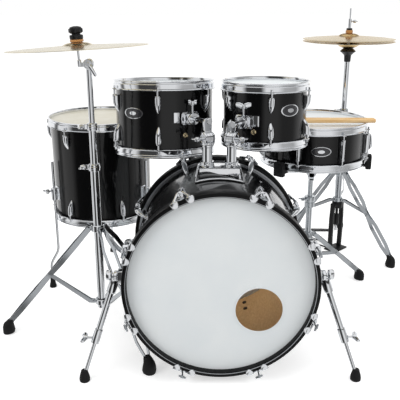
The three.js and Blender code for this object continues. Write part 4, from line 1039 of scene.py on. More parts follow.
for side, h in HANG.items():
    crown, rod_z, rod_end = h["rise"] - 9, h["rise"] - ROD_BELOW, h["reach"] - 5
    bm = bmesh.new()
    lathe(bm, [
        (4, -9.9), (16.6, -9.9), (17.9, -8.8), (17.9, -1.2), (17.2, -0.7), (17.2, 0.7), (17.9, 1.2),
        (17.9, 8.8), (16.6, 9.9), (4, 9.9),
    ], turn(90, "X"), steps=48)
    paddle = [(-9.8, 6), (9.8, 6), (9.8, 20.5), (13, 25), *arch(14, crown), (-13, 25), (-9.8, 20.5)]
    profiled(bm, paddle, 10, turn(90, "Z"), 2)
    lathe(bm, [
        (0, -6.4), (8.4, -6.4), (9.6, -5.4), (9.6, 7), (8.6, 8.6), (7.4, 9), (7.4, rod_end), (0, rod_end),
    ], shift(0, ROD_ASIDE, rod_z) @ turn(90, "Y"), steps=32)
    arm = f"{side}_tom_arm"
    put(bm, arm, chrome, f"{side}_arm", HOLDER[side]["arm"], arm)
    bm = bmesh.new()
    inset = [(-8, 22), (8, 22), (10.2, 27), *arch(10.4, crown), (-10.2, 27)]
    profiled(bm, inset, 10.8, turn(90, "Z"), 0.3)
    put(bm, f"{side}_tom_arm_face", alloy, f"{side}_arm", HOLDER[side]["arm"])

# %% [markdown]
# ### Brackets on the toms
# A bracket is a cast plate screwed to the shell with a thick round socket that takes the arm's rod. A wing
# screw bites on the rod from above. The parts are placed as if the bracket were at the right of the drum,
# and one turn puts them all where the holder comes in.

# %% Brackets on the toms
SOCKET = 32
flange = [
    (-29, -14), (-25, -19.5), (25, -19.5), (29, -14), (31, 0), (29, 14), (25, 19.5), (-25, 19.5),
    (-29, 14), (-31, 0),
]
for side, h in HANG.items():
    radius, lift = h["radius"], h["lift"]
    facing = turn(h["turn"] + 180, "Z")
    bm = bmesh.new()
    seat = facing @ shift(radius + 3.6, 0, 0) @ turn(90, "Z")
    profiled(bm, [(y, z + lift) for y, z in flange], 7, seat, 1.8)
    plate(bm, (20, 38, 36), facing @ shift(radius + 14, 0, lift), 5)
    lathe(bm, [
        (7.7, 2), (19, 2), (20, 4), (20, 13), (18.6, 15), (18.6, SOCKET - 4), (16.6, SOCKET - 0.6),
        (7.7, SOCKET),
    ], facing @ shift(radius, 0, lift) @ turn(90, "Y"), steps=40)
    foot = facing @ Vector((radius + SOCKET * h["screw_at"], 0, lift + 16))
    wing_screw(bm, foot, foot + Vector((0, 0, 36)), h["screw_span"], 7, 3.4)
    plate(bm, (9, 18, 33), facing @ turn(h["side"] * 16, "Z") @ shift(radius + 4.4, 0, lift + 3), 2)
    for y in (-24, 24):
        for z in (-11, 11):
            inner, outer = Vector((radius + 6, y, z + lift)), Vector((radius + 9.4, y, z + lift))
            bar(bm, facing @ inner, facing @ outer, 3.4, steps=14)
    put(bm, f"{side}_tom_bracket", chrome, f"{side}_tom", HOLDER[side]["tom"])

# %% [markdown]
# ## Spurs
# A spur is a tube on a bracket that folds forward, with a rod that slides in it down to a rubber foot. The
# two spurs stop the bass drum from rolling and creeping. Everything on a spur lies on the line from its
# pivot to its foot, so places along it are shares of that line.

# %% Spurs
PIVOT_Y, PIVOT_DROP = 110, -9
for side, name in ((-1, "left"), (1, "right")):
    pivot = STANDING @ Vector((side * 299, PIVOT_Y, PIVOT_DROP))
    foot = Vector((side * 388, 15, 18))
    run = foot - pivot
    out = Vector((side, 0, 0))
    outwards = turn(90 * side, "Y")
    bm = bmesh.new()
    plate(bm, (10, 34, 52), shift(side * 255, PIVOT_Y, PIVOT_DROP), 3)
    plate(bm, (36, 27, 38), shift(side * 275, PIVOT_Y, PIVOT_DROP), 4)
    pin = [(0, 0), (4.2, 0), (4.2, 30), (0, 30)]
    lathe(bm, pin, shift(side * 290, PIVOT_Y, PIVOT_DROP) @ outwards, steps=20)
    knob = [(0, 0), (5, 0), (5, 9), (11, 10), (14.4, 12), (15, 14), (15, 24), (13.6, 26), (0, 26.6)]
    lathe(bm, knob, shift(side * 300, 108, -4) @ outwards, steps=10)
    put(bm, f"{name}_spur_bracket", chrome, "kit", STANDING)

    bm = bmesh.new()
    disc = [(4.6, 0), (15.5, 0), (17, 1.5), (17, 8.5), (15.5, 10), (4.6, 10)]
    lathe(bm, disc, shift(*(pivot - out * 5)) @ outwards, steps=36)
    length = run.length
    lathe(bm, [
        (6.4, 10), (13, 10), (14, 12), (14, 46), (12.6, 49), (9.5, 50), (9.5, length * 0.53),
        (11.8, length * 0.535), (12.4, length * 0.545), (12.4, length * 0.665), (11.6, length * 0.675),
        (6.4, length * 0.675),
    ], towards(pivot, foot), steps=36)
    collar = pivot + run * 0.62
    wing_screw(bm, collar + out * 11, collar + out * 38, 25, 8.4, 4.4)
    put(bm, f"{name}_spur_tube", chrome, f"{name}_spur", stands_for=f"{name}_spur_tube")

    bm = bmesh.new()
    bar(bm, pivot + run * 0.3, pivot + run, 6)
    put(bm, f"{name}_spur_rod", chrome, f"{name}_spur_rod", stands_for=f"{name}_spur_foot")
    bm = bmesh.new()
    pad = [(0, 0), (13.4, 0), (15, 1.8), (15.4, 8), (14, 17), (11, 27), (9.6, 33), (8.4, 35), (0, 35)]
    lathe(bm, pad, shift(foot.x, foot.y, 0), steps=32)
    put(bm, f"{name}_spur_pad", rubber, f"{name}_spur_rod")

# %% [markdown]
# ## Floor-tom legs
# Three bent rods slide in brackets on the shell. Each one is a single tube run with two rounded knees,
# drawn from heights over the floor, and ends in a tall rubber foot.

# %% Floor-tom legs and brackets
LEG_ANGLES = around(3, 92)
LEG_AT, LEG_KICK, BRACKET_HEIGHT = 192.8, 224.8, 364
WING_HEIGHT = BRACKET_HEIGHT + 12
LEG_PATH = ((LEG_AT, 484), (LEG_AT, 143), (LEG_KICK, 96), (LEG_KICK, 30))


def on_leg(spoke, out, height):
    """A point at a distance from the drum's axis and a height over the floor."""
    return spoke @ Vector((out, 0, height - FLOOR_MIDDLE))


for k, angle in enumerate(LEG_ANGLES):
    name = f"floor_leg_{k + 1}"
    spoke = turn(angle, "Z")
    path = [on_leg(spoke, out, height) for out, height in LEG_PATH]
    bm = bmesh.new()
    tube_run(bm, path, 5, 16, spoke @ Vector((0, 1, 0)))
    put(bm, f"{name}_rod", chrome, name, FLOOR, f"floor_tom_leg_{k + 1}")
    bm = bmesh.new()
    lathe(bm, [
        (0, 0), (12, 0), (13, 1), (12.6, 8), (9.5, 22), (8.2, 38), (7.6, 41.5), (5.2, 42), (0, 42),
    ], spoke @ shift(LEG_KICK, 0, -FLOOR_MIDDLE), steps=32)
    put(bm, f"{name}_foot", rubber, name, FLOOR)
    bm = bmesh.new()
    z = BRACKET_HEIGHT - FLOOR_MIDDLE
    plate(bm, (4, 34, 50), spoke @ shift(179, 0, z), 1.4)
    sleeve = [(5.4, -22), (10, -22), (11.5, -20.5), (11.5, 20.5), (10, 22), (5.4, 22)]
    lathe(bm, sleeve, spoke @ shift(LEG_AT, 0, z), steps=32)
    plate(bm, (14, 20, 40), spoke @ shift(186, 0, z), 3)
    start, end = on_leg(spoke, LEG_AT + 8, WING_HEIGHT), on_leg(spoke, LEG_AT + 33, WING_HEIGHT)
    wing_screw(bm, start, end, 21, 9, 3.6)
    put(bm, f"{name}_bracket", chrome, "kit", FLOOR)

# %% [markdown]
# ## Stands
# Every stand rests on a tripod of double steel strips. The two strips of a leg pinch together at the stay
# and meet again in a rubber foot. Tubes slide in one another and are held by clamps with wing screws. The
# three stands differ in size only, so one tripod, one clamp and one tube serve them all.

# %% Tripod
LEG_STRIP, PINCH = 16, 0.47


def tripod(bm, legs, feet, base, leg_top, leg_foot, radius, start):
    """Two hub rings, three legs with their stays, and three boots, in three separate meshes."""
    hub = base + 7
    for z, tall in ((leg_top, 11), (leg_foot, 9)):
        lathe(bm, [
            (base + 0.2, -tall), (hub - 1.5, -tall), (hub, 1.5 - tall), (hub, tall - 1.5),
            (hub - 1.5, tall), (base + 0.2, tall),
        ], shift(0, 0, z), steps=36)
    for angle in around(3, start):
        spoke = turn(angle, "Z")
        top, low = Vector((hub + 6, 0, leg_top)), Vector((hub + 6, 0, leg_foot))
        leg = Vector((radius - 4 - hub - 6, 0, 26 - leg_top))
        across = Vector((-leg.z, 0, leg.x)).normalized()
        spread = [
            (0, 9), (0.07, 9), (0.16, 17), (0.35, 17), (PINCH - 0.03, 5), (PINCH + 0.03, 5),
            (PINCH + 0.15, 16), (0.83, 16), (0.95, 5), (1, 4.4),
        ]
        part = bmesh.new()
        for side in (1, -1):
            line = [Vector((hub + 6, side * y, leg_top)) + leg * t for t, y in spread]
            strip(part, line, LEG_STRIP, 2.5, across)
        end = top + leg * PINCH
        stay = end - low
        lean = Vector((-stay.z, 0, stay.x)).normalized()
        for side in (1, -1):
            near_end = end + Vector((0, side * 1.2, 0))
            strip(part, [
                Vector((hub + 2, side * 5.2, leg_foot)),
                Vector((hub + 14, side * 5.2, leg_foot)) + stay * 0.02,
                near_end - stay * 0.12, near_end,
            ], LEG_STRIP - 4, 2.2, lean)
        for place, half in ((top, 12), (end, 8), (low, 9)):
            bar(part, place - Vector((0, half, 0)), place + Vector((0, half, 0)), 3.4, steps=14)
        plate(part, (16, 15, 16), shift(hub + 3, 0, leg_top), 2)
        plate(part, (14, 8, 13), shift(hub + 3, 0, leg_foot), 2)
        merge(legs, part, spoke)

        part = bmesh.new()
        fall = -leg.x / leg.z
        boot = [
            (0, 15, 16), (3, 18.5, 20), (10, 19.5, 21.5), (22, 18.5, 20), (33, 16, 17), (43, 12.5, 13.5),
            (48, 10, 11),
        ]
        rings = []
        for z, deep, wide in boot:
            x = min(radius + 9.8 - deep, radius - 2 - (z - 22) * fall * 0.8)
            rings.append(station((x, 0, z), deep, wide, (1, 0, 0), (0, 0, 1)))
        loft(part, rings, 24)
        merge(feet, part, spoke)


# %% Clamp and tube
def clamp(bm, z, radius, angle, collar):
    """The clamp at the top of a tube, with its ring, ear and wing screw."""
    outer = radius + collar
    lathe(bm, [
        (radius - 1.8, z - 22), (outer - 1, z - 22), (outer, z - 21), (outer, z - 15),
        (outer + 1.2, z - 14), (outer + 1.2, z - 8), (outer, z - 7), (outer, z - 2), (outer - 1.4, z - 0.6),
        (radius - 1.8, z - 0.6),
    ], steps=36)
    spoke = turn(angle, "Z")
    plate(bm, (14, 9, 15), spoke @ shift(outer + 3, 0, z - 11), 2)
    start, end = Vector((outer + 6, 0, z - 11)), Vector((radius + 29, 0, z - 11))
    wing_screw(bm, spoke @ start, spoke @ end, 20, 7.5, 3.2)


def tube(bm, outer, inner, foot, top):
    """A tube with an open bore and an eased upper rim."""
    lathe(bm, [(inner, foot), (outer, foot), (outer, top - 0.8), (outer - 0.8, top), (inner, top)], steps=36)


# %% [markdown]
# ### Cymbal stand
# The stand's base tube takes a thinner tube, and that takes the upper one. It stands so close to the floor
# tom that one of its feet is beside a leg of the drum, so its place is worked out from that leg.

# %% Cymbal stand
STAND_START, STAND_FEET = 184, 315
APART_X, APART_Y = 16.4, 47.3
floor_leg = radians(LEG_ANGLES[2])
near_foot = radians(STAND_START + 240)
stand_x = FLOOR_X + LEG_KICK * cos(floor_leg) - APART_X - STAND_FEET * cos(near_foot)
stand_y = FLOOR_Y + LEG_KICK * sin(floor_leg) - APART_Y - STAND_FEET * sin(near_foot)
CYMBAL = shift(stand_x, stand_y, 0)
print("cymbal stand at", round(stand_x, 1), round(stand_y, 1))

BASE_RADIUS, BASE_TOP = 12.8, 565
MIDDLE_RADIUS, MIDDLE_TOP = 10.6, 690
bm, legs, feet = bmesh.new(), bmesh.new(), bmesh.new()
tube(bm, BASE_RADIUS, 11, 84, BASE_TOP)
lathe(bm, [(0, 82), (11, 82), (13.2, 83), (13.2, 90), (0, 90)], steps=32)
tripod(bm, legs, feet, BASE_RADIUS, 358, 104, STAND_FEET, STAND_START)
clamp(bm, BASE_TOP, BASE_RADIUS, 180, 4)
put(bm, "cymbal_stand_base", chrome, "kit", CYMBAL, "cymbal_stand_base")
put(legs, "cymbal_stand_legs", steel, "kit", CYMBAL)
put(feet, "cymbal_stand_feet", rubber, "kit", CYMBAL)
bm = bmesh.new()
tube(bm, MIDDLE_RADIUS, 9.1, 335, MIDDLE_TOP)
clamp(bm, MIDDLE_TOP, MIDDLE_RADIUS, 190, 4.4)
put(bm, "cymbal_stand_middle_tube", chrome, "stand_middle", CYMBAL, "cymbal_stand_middle_tube")

# %% [markdown]
# ### Tilter and crash cymbal
# The upper tube ends in half of a toothed hinge, and the tilter is the other half. Its rod carries a metal
# cup, two felts and a nylon nut, with the cymbal free to rock between the felts. The two halves share one
# profile, turned outwards from either side of the hinge.

# %% Upper tube and tilter
HINGE_HEIGHT = 862
TILTER = CYMBAL @ shift(0, 0, HINGE_HEIGHT)
LEAN = TILTER @ turn(-3.4, "Y")
SEAT = LEAN @ shift(-25, -6, 35)
CRASH = SEAT @ turn(0.6, "Y") @ turn(-2.2, "X") @ shift(0, 0, 11.8)
hinge_rim = [(11, 0), (11.6, 0.6), (13.6, 0.6), (15, 2), (15, 9.5), (13, 11.7)]
bm = bmesh.new()
bar(bm, (0, 0, 560 - HINGE_HEIGHT), (0, 0, -16), 8.6, steps=28)
strip(bm, [(0, 6.1, -28), (0, 6.1, -14), (0, 6.1, 0)], 16, 11, (1, 0, 0))
lathe(bm, [(0, 0), *hinge_rim, (0, 11.7)], shift(0, GAP, 0) @ turn(-90, "X"), steps=40)
hub = [(0, 0), (6.6, 0), (7.4, 1), (7.4, 6), (6, 8), (0, 8)]
lathe(bm, hub, shift(0, -12, 0) @ turn(90, "X"), steps=28)
lever = ((-2, 3, 3), (2, -1, 5.6), (8, -9, 6), (15, -20, 5), (20, -29, 5.4), (22, -33, 3))
loft(bm, [station((x, -17, z), wide, 3, (1, 0, 0.8), (0.6, 0, -1)) for x, z, wide in lever], 16)
put(bm, "cymbal_stand_upper_tube", chrome, "stand_upper", TILTER, "cymbal_stand_upper_tube")

bm = bmesh.new()
lathe(bm, [(4.2, 0), *hinge_rim, (4.2, 11.7)], shift(0, -GAP, 0) @ turn(90, "X"), steps=40)
strip(bm, [(-6, -6.5, 0), (-14, -6.5, 0), (-28, -6.5, 0)], 12, 8.6, (0, 0, 1))
lathe(bm, [
    (0, -49), (5.2, -49), (6, -48), (6, -31), (5, -30), (3.8, -29), (3.8, 64), (3.2, 65), (0, 65),
], shift(-25, -6, 43), steps=28)
cup = [(3.9, 14.5), (8, 14.5), (16.5, 16), (16.5, 17.6), (3.9, 17.6)]
lathe(bm, cup, shift(-25, -6, 35), steps=36)
put(bm, "cymbal_tilter", chrome, "tilter", LEAN, "cymbal_tilter")

# %% Felts and nylon nut of the crash
bm = bmesh.new()
lathe(bm, [(4, 17.7), (15.6, 17.7), (17, 19), (16, 22), (9, 25.6), (6.2, 27.2), (4, 27.2)], steps=36)
lathe(bm, [(4, 28.8), (17, 28.8), (19, 30), (19.6, 33), (18.6, 36), (4, 36)], steps=36)
put(bm, "crash_felts", felt, "tilter", SEAT)
bm = bmesh.new()
lathe(bm, [
    (4, 36.2), (17, 36.2), (19.4, 37.6), (19.8, 46.5), (18, 48.4), (12.6, 49.4), (12.6, 52), (17, 53.4),
    (19, 55.4), (18.6, 65.6), (15.6, 70), (7, 72.4), (0, 72.4),
], steps=12)
for k in range(6):
    plate(bm, (6, 9, 11), turn(60 * k, "Z") @ shift(17.2, 0, 60.6), 2)
put(bm, "crash_wing_nut", nylon, "tilter", SEAT)

# %% [markdown]
# ### Cymbals
# A cymbal is a shallow bow with a bell in the middle, thin at the rim. Its profile is turned, and then every
# corner stores its distance from the hole, which the lathed finish reads.

# %% Cymbals
def cymbal(name, body, radius, bell, bow_rise, dome, thick, where, finish, flip=False):
    """Bell is the bell's radius, bow_rise the bow's height, and dome the height of the bell on it."""
    below = [(radius, 0), (radius - 1.2, 0.15)]
    for k in range(1, 9):
        r = radius - (radius - bell - 6) * k / 8
        inwards = (radius - r) / (radius - bell)
        below.append((r, bow_rise * (1 - (1 - inwards) ** 1.25)))
    below += [
        (bell, bow_rise + 0.5), (bell * 0.93, bow_rise + dome * 0.22), (bell * 0.8, bow_rise + dome * 0.55),
        (bell * 0.6, bow_rise + dome * 0.82), (bell * 0.35, bow_rise + dome * 0.97), (6, bow_rise + dome),
    ]
    above = [(r, z + thick * (0.55 if r > radius - 2 else 1)) for r, z in below]
    bm = bmesh.new()
    lathe(bm, below + above[::-1], steps=144)
    bow = bm.verts.layers.float.new("bow")
    for vert in bm.verts:
        vert[bow] = vert.co.xy.length / 1000
    upright = turn(180, "X") if flip else Matrix()
    put(bm, name, finish, body, where @ upright, name)


cymbal("crash_cymbal", "crash", LARGEST_CYMBAL, 44, 6.2, 9, 1.4, CRASH, pale_bronze)

# %% [markdown]
# ## Hi-hat
# Two cymbals face each other on one stand: the lower one lies on a seat, and the upper one hangs from a
# clutch on a rod that the pedal pulls down. The stand's foot is a powder-coated frame of two flat bars with
# a base plate, and two rods run from it to the pedal's hinge.

# %% Hi-hat stand
HAT_AT = shift(529, 995, 0)
HAT_TURN, HAT_HINGE = 134, 246
HAT_RADIUS, HAT_BASE_TOP = 13.4, 611
bm, legs, feet = bmesh.new(), bmesh.new(), bmesh.new()
tube(bm, HAT_RADIUS, 11.4, 196, HAT_BASE_TOP)
tripod(bm, legs, feet, HAT_RADIUS, 345, 226, 278, -46)
clamp(bm, HAT_BASE_TOP, HAT_RADIUS, 180, 4)
put(bm, "hi_hat_base", tube_chrome, "kit", HAT_AT, "hi_hat_base")
put(legs, "hi_hat_legs", steel, "kit", HAT_AT)
put(feet, "hi_hat_feet", rubber, "kit", HAT_AT)
bm = bmesh.new()
plate(bm, (24, 72, 16), shift(0, 0, 204), 5)
lathe(bm, [(13.6, 190), (21, 190), (22, 192), (22, 214), (21, 216), (13.6, 216)], steps=36)
plate(bm, (60, 88, 7), shift(-6, 0, 3.5), 2.5)
for side in (1, -1):
    upright = [(0, side * 33, 2), (0, side * 35, 60), (0, side * 35, 150), (0, side * 31, 202)]
    strip(bm, upright, 18, 10, (1, 0, 0))
    bar(bm, (0, side * 22, 4), (HAT_HINGE, side * 22, 4), 3)
    plate(bm, (14, 4, 22), shift(HAT_HINGE, side * (18 + GAP + 2), 12), 1)
plate(bm, (34, 60, 8), shift(HAT_HINGE, 0, 4), 2)
lathe(bm, [(3.4, 112), (10, 112), (11, 114), (11, 158), (6, 162), (5.4, 186), (3.4, 186)], steps=32)
put(bm, "hi_hat_frame", coated, "kit", HAT_AT @ turn(HAT_TURN, "Z"))

# %% Hi-hat tube, seat and lower cymbal
HAT_LOW, HAT_HIGH = 876, 884
HAT_BOW, HAT_DOME, HAT_THICK = 10, 15, 1.6
bm = bmesh.new()
tube(bm, 11, 3.4, 421, 799.1)
put(bm, "hi_hat_upper_tube", chrome, "hi_hat_tube", HAT_AT, "hi_hat_upper_tube")
bm = bmesh.new()
top = HAT_LOW - HAT_BOW - HAT_DOME - HAT_THICK - GAP
lathe(bm, [
    (3.5, top - 52), (12, top - 52), (12.6, top - 49), (14, top - 27), (24, top - 17), (30, top - 13),
    (30.4, top - 11), (28, top - 8), (19, top), (3.5, top),
], steps=44)
put(bm, "hi_hat_seat", nylon, "hi_hat_tube", HAT_AT)
LOW_HAT, TOP_HAT = HAT_AT @ shift(0, 0, HAT_LOW), HAT_AT @ shift(0, 0, HAT_HIGH)
cymbal(
    "hi_hat_bottom_cymbal", "hi_hat_tube", FOURTEEN, 44, HAT_BOW, HAT_DOME, HAT_THICK, LOW_HAT,
    gold_bronze, flip=True,
)

# %% Hi-hat rod, clutch and upper cymbal
cymbal("hi_hat_top_cymbal", "hi_hat_pull_rod", FOURTEEN, 42, HAT_BOW, 11, HAT_THICK, TOP_HAT, gold_bronze)
bm = bmesh.new()
rod_foot = 98 - HAT_HIGH
lathe(bm, [(0, rod_foot), (3, rod_foot), (3, 113.5), (2.4, 115), (0, 115)], steps=20)
lathe(bm, [(3, 41), (6.5, 41), (6.5, 76), (5.6, 77), (3, 77)], steps=28)
wing_screw(bm, (4, 0, 67), (26, 0, 67), 13)
plate(bm, (5, 14, 20), turn(HAT_TURN, "Z") @ shift(0, 0, 94 - HAT_HIGH), 1.2)
put(bm, "hi_hat_rod", chrome, "hi_hat_pull_rod", TOP_HAT, "hi_hat_rod")
bm = bmesh.new()
lathe(bm, [(3.2, 22.8), (12.6, 22.8), (14, 24.4), (14, 32), (12.6, 33.6), (3.2, 33.6)], steps=36)
lathe(bm, [(3.2, 12), (9.6, 12), (11.6, 14), (8, 19.4), (6.6, 20.8), (3.2, 20.8)], steps=36)
put(bm, "hi_hat_felts", felt, "hi_hat_pull_rod", TOP_HAT)
bm = bmesh.new()
lathe(bm, [(3.2, 33.6), (11, 33.6), (11.6, 34.6), (11.6, 39.6), (9, 41.4), (3.2, 41.4)], steps=28)
put(bm, "hi_hat_clutch_nut", nylon, "hi_hat_pull_rod", TOP_HAT)

# %% [markdown]
# ### Footboards
# A footboard is a cast plate, narrow at the toe, with ribs across it so that a shoe doesn't slip, and a pin
# through its heel. Both pedals have one, so it is a function of its length and widths.

# %% Footboards
def footboard(name, body, length, toe, waist, back, where):
    """A board that runs back from its hinge; toe, waist and back are half widths."""
    outline = [
        (-toe, -length), (toe, -length), (waist, -length * 0.7), (back, 0), (-back, 0),
        (-waist, -length * 0.7),
    ]
    bm = bmesh.new()
    profiled(bm, outline, 4.4, turn(-90, "X"), 1.6)
    for k in range(1, 11):
        y = -length * (0.06 + k * 0.085)
        half = (back - 7) if -y < length * 0.7 else (toe - 4)
        plate(bm, (2 * half, 3, 1.4), shift(0, y, 2.5), 0.5)
    bar(bm, (-back - 4, 0, 0), (back + 4, 0, 0), 3)
    put(bm, name, coated, body, where, name)


HAT_BOARD_LENGTH, HAT_BOARD_RISE = 232, 60
HAT_BOARD = (
    HAT_AT @ turn(HAT_TURN, "Z") @ shift(HAT_HINGE, 0, 20)
    @ Matrix.Rotation(atan2(HAT_BOARD_RISE, HAT_BOARD_LENGTH), 4, "Y") @ turn(-90, "Z")
)
footboard("hi_hat_footboard", "hi_hat_pedal", HAT_BOARD_LENGTH, 17, 21, 18, HAT_BOARD)

# %% [markdown]
# ## Snare stand
# The stand holds the drum in a basket of three arms with rubber tips, tilted by a knuckle with a wing bolt.
# The arms are flat strips that dive under the drum and rise at its edge. Two blocks there grip the hoop.

# %% Snare stand
SNARE_AT = shift(SNARE_X, SNARE_Y, 0)
bm, legs, feet = bmesh.new(), bmesh.new(), bmesh.new()
tube(bm, 11, 9.2, 60, 350)
tripod(bm, legs, feet, 11, 200, 118, 225, 8)
lathe(bm, [
    (10, 308), (17, 308), (18.6, 310), (18.6, 326), (16.4, 328), (16.4, 330), (19.4, 331), (20.4, 333),
    (20.4, 347), (18.6, 349.6), (10, 349.6),
], steps=40)
spoke = turn(200, "Z")
wing_screw(bm, spoke @ Vector((19, 0, 340)), spoke @ Vector((37, 0, 340)), 15)
put(bm, "snare_stand_base", tube_chrome, "kit", SNARE_AT, "snare_stand_base")
put(legs, "snare_stand_legs", steel, "kit", SNARE_AT)
put(feet, "snare_stand_feet", rubber, "kit", SNARE_AT)
bm = bmesh.new()
bar(bm, (0, 0, 220), (0, 0, 418), 8.9, steps=32)
plate(bm, (18, 34, 10), shift(0, 0, 416), 2.5)
disc = [(0, 0), (15.5, 0), (17, 1.2), (17, 3.8), (15.5, 5), (0, 5)]
for side in (1, -1):
    lathe(bm, disc, shift(0, side * 12, SNARE_PIVOT) @ turn(-90 * side, "X"), steps=36)
    ear = [(0, side * 14.5, z) for z in (412, 425, SNARE_PIVOT)]
    strip(bm, ear, 18, 5, (1, 0, 0))
put(bm, "snare_stand_neck", tube_chrome, "snare_neck", SNARE_AT, "snare_stand_neck")

# %% Snare basket
BASKET = SNARE_AT @ shift(0, 0, SNARE_PIVOT)
rim = SNARE_TOP - 2 * HOOP_RISE - SNARE_DEPTH - SNARE_PIVOT
reach = FOURTEEN + 9
bm, tips = bmesh.new(), bmesh.new()
lathe(bm, [(0, -11.6), (12, -11.6), (13, -10.6), (13, 10.6), (12, 11.6), (0, 11.6)], turn(90, "X"), steps=36)
for angle in around(3, -13):
    path = [(6, 0, 13), (40, 0, 15), (110, 0, 22), (reach - 20, 0, rim - 12), (reach + 6, 0, rim - 11)]
    part = bmesh.new()
    strip(part, path, 12, 5.5, (0, 1, 0))
    merge(bm, part, turn(angle, "Z"))
    part = bmesh.new()
    plate(part, (32, 34, 12), shift(reach - 2, 0, rim - GAP - 6), 3)
    plate(part, (20, 38, 50), shift(reach + GAP + 10, 0, rim + 4), 4)
    merge(tips, part, turn(angle, "Z"))
put(bm, "snare_stand_basket", chrome, "snare_basket", BASKET, "snare_stand_basket")
put(tips, "snare_basket_tips", rubber, "snare_basket", BASKET)

# %% [markdown]
# ## Kick pedal
# Behind the bass drum a cast pedal clamps to the hoop. Its footboard turns an axle, and a felt beater
# swings; its felt head is drawn in the same chrome as its shaft. The clamp's jaw follows the hoop's lowest
# point, so its sizes start from there.

# %% Pedal frame, footboard and beater
hoop_foot = STANDING @ Vector((0, BASS_MIDDLE + FACE, -BASS["hoop"] * cos(pi / 32)))
REAR, JAW = hoop_foot.y + GAP, hoop_foot.z - GAP
AXLE, HEEL = REAR + 42, REAR + 284
bm = bmesh.new()
profiled(bm, [
    (REAR - 36, 0), (REAR + 14, 0), (REAR + 14, JAW + 20), (REAR + 8, JAW + 24), (REAR - 15, JAW + 24),
    (REAR - 15, JAW + 17), (REAR, JAW + 17), (REAR, JAW), (REAR - 36, JAW),
], 44, turn(90, "Z"), 1.2)
plate(bm, (70, 312, 4), shift(0, REAR + 156, 2), 1.2)
plate(bm, (70, 26, 16), shift(0, REAR + 303, 8), 3)
plate(bm, (96, 26, 10), shift(0, AXLE, 5), 2)
for side in (1, -1):
    strip(bm, [(side * 42, AXLE, z) for z in (4, 40, 90, 112)], 18, 8, (0, 1, 0))
    plate(bm, (4, 14, 20), shift(side * (30 + GAP + 2), HEEL, 10), 1)
put(bm, "pedal_frame", coated, "kit", stands_for="pedal_frame")

TREAD_LENGTH, TREAD_RISE = 250, 62
tread_run = (TREAD_LENGTH ** 2 - TREAD_RISE ** 2) ** 0.5
TREAD = shift(0, HEEL, 12) @ Matrix.Rotation(-atan2(TREAD_RISE, tread_run), 4, "X")
footboard("pedal_footboard", "footboard", TREAD_LENGTH, 22, 33, 30, TREAD)

SWING = shift(0, AXLE, 100) @ turn(-40, "X")
bm = bmesh.new()
bar(bm, (-50, 0, 0), (50, 0, 0), 4.2)
lathe(bm, [(0, -12), (18, -12), (20, -10), (20, 10), (18, 12), (0, 12)], turn(90, "Y"), steps=40)
bar(bm, (0, 0, 15), (0, 0, 232), 3.5)
beater = [(0, 23), (20, 23), (24, 19), (24, -22), (21, -26), (0, -26)]
lathe(bm, beater, shift(0, 0, 212) @ turn(90, "X") @ turn(180, "X"), steps=40)
put(bm, "pedal_beater", chrome, "beater", SWING, "pedal_beater")

# %% [markdown]
# ## Sticks
# Two hickory sticks rest on the snare drum's rim. A stick is turned: a straight shaft, a taper and a bead.

# %% Sticks
STICK_RADIUS = 7.2
on_rim = SNARE_EDGE + HOOP_RISE + GAP + STICK_RADIUS
for k, (y, skew) in enumerate(((-96, 0), (-79, -1.5))):
    name = f"drumstick_{k + 1}"
    bm = bmesh.new()
    lathe(bm, [
        (0, 0), (5.6, 0), (6.9, 1.2), (STICK_RADIUS, 3), (STICK_RADIUS, 336), (6.4, 360), (4.2, 384),
        (3.1, 393), (3.6, 396), (4.7, 399), (4.9, 402), (3.8, 405), (1.8, 406.6), (0, 406.8),
    ], turn(-90, "Y"), steps=28)
    put(bm, name, hickory, "snare_basket", SNARE @ shift(190, y, on_rim) @ turn(skew, "Z"), name)

# %% [markdown]
# ## Stage
# The eye sees the paper lit and glowing a little, so it reads as plain white with a soft shadow. For light
# that bounces it is a dull grey, and reflections pass through it, because a mirror of the whole floor would
# leave the chrome without any dark.

# %% Floor
def mixed(owner, share, first, second):
    """Goes from the first shader to the second by a share."""
    inputs = {0: share, 1: first.outputs[0], 2: second.outputs[0]}
    return node(owner, "ShaderNodeMixShader", inputs)


def seen_directly(owner, path):
    """Is 1 for rays from the camera, also where they have passed through something clear."""
    rays = {0: path.outputs["Is Camera Ray"], 1: path.outputs["Is Transmission Ray"]}
    return node(owner, "ShaderNodeMath", rays, operation="MAXIMUM").outputs[0]


floor_mesh = bpy.data.meshes.new("floor")
bm = bmesh.new()
bmesh.ops.create_grid(bm, x_segments=1, y_segments=1, size=30)
bm.to_mesh(floor_mesh)
bm.free()
floor = bpy.data.objects.new("floor", floor_mesh)
bpy.context.scene.collection.objects.link(floor)
paper = bpy.data.materials.new("white paper")
paper.use_nodes = True
paper.node_tree.nodes.clear()
path = node(paper, "ShaderNodeLightPath")
matt = node(paper, "ShaderNodeBsdfDiffuse", {"Color": (0.85, 0.85, 0.85, 1)})
glow = node(paper, "ShaderNodeEmission", {"Color": (1, 1, 1, 1), "Strength": 0.5})
lit = node(paper, "ShaderNodeAddShader", {0: matt.outputs[0], 1: glow.outputs[0]})
dim = node(paper, "ShaderNodeBsdfDiffuse", {"Color": (0.6, 0.6, 0.6, 1)})
clear = node(paper, "ShaderNodeBsdfTransparent")
solid = mixed(paper, seen_directly(paper, path), dim, lit)
open_floor = mixed(paper, path.outputs["Is Glossy Ray"], solid, clear)
node(paper, "ShaderNodeOutputMaterial", {"Surface": open_floor.outputs[0]})
floor_mesh.materials.append(paper)
print("floor laid")

# %% [markdown]
# ### Studio
# The eye, and light that has come through something clear, meet plain white. Reflections meet a studio
# instead: pale walls with dark gaps between them all round, an open top and bottom, and a dark band above
# the walls. Chrome has no colour of its own and would be a white shape on white without these gaps. An
# image of a real studio would do the same, but a ramp of levels round the horizon needs no file.

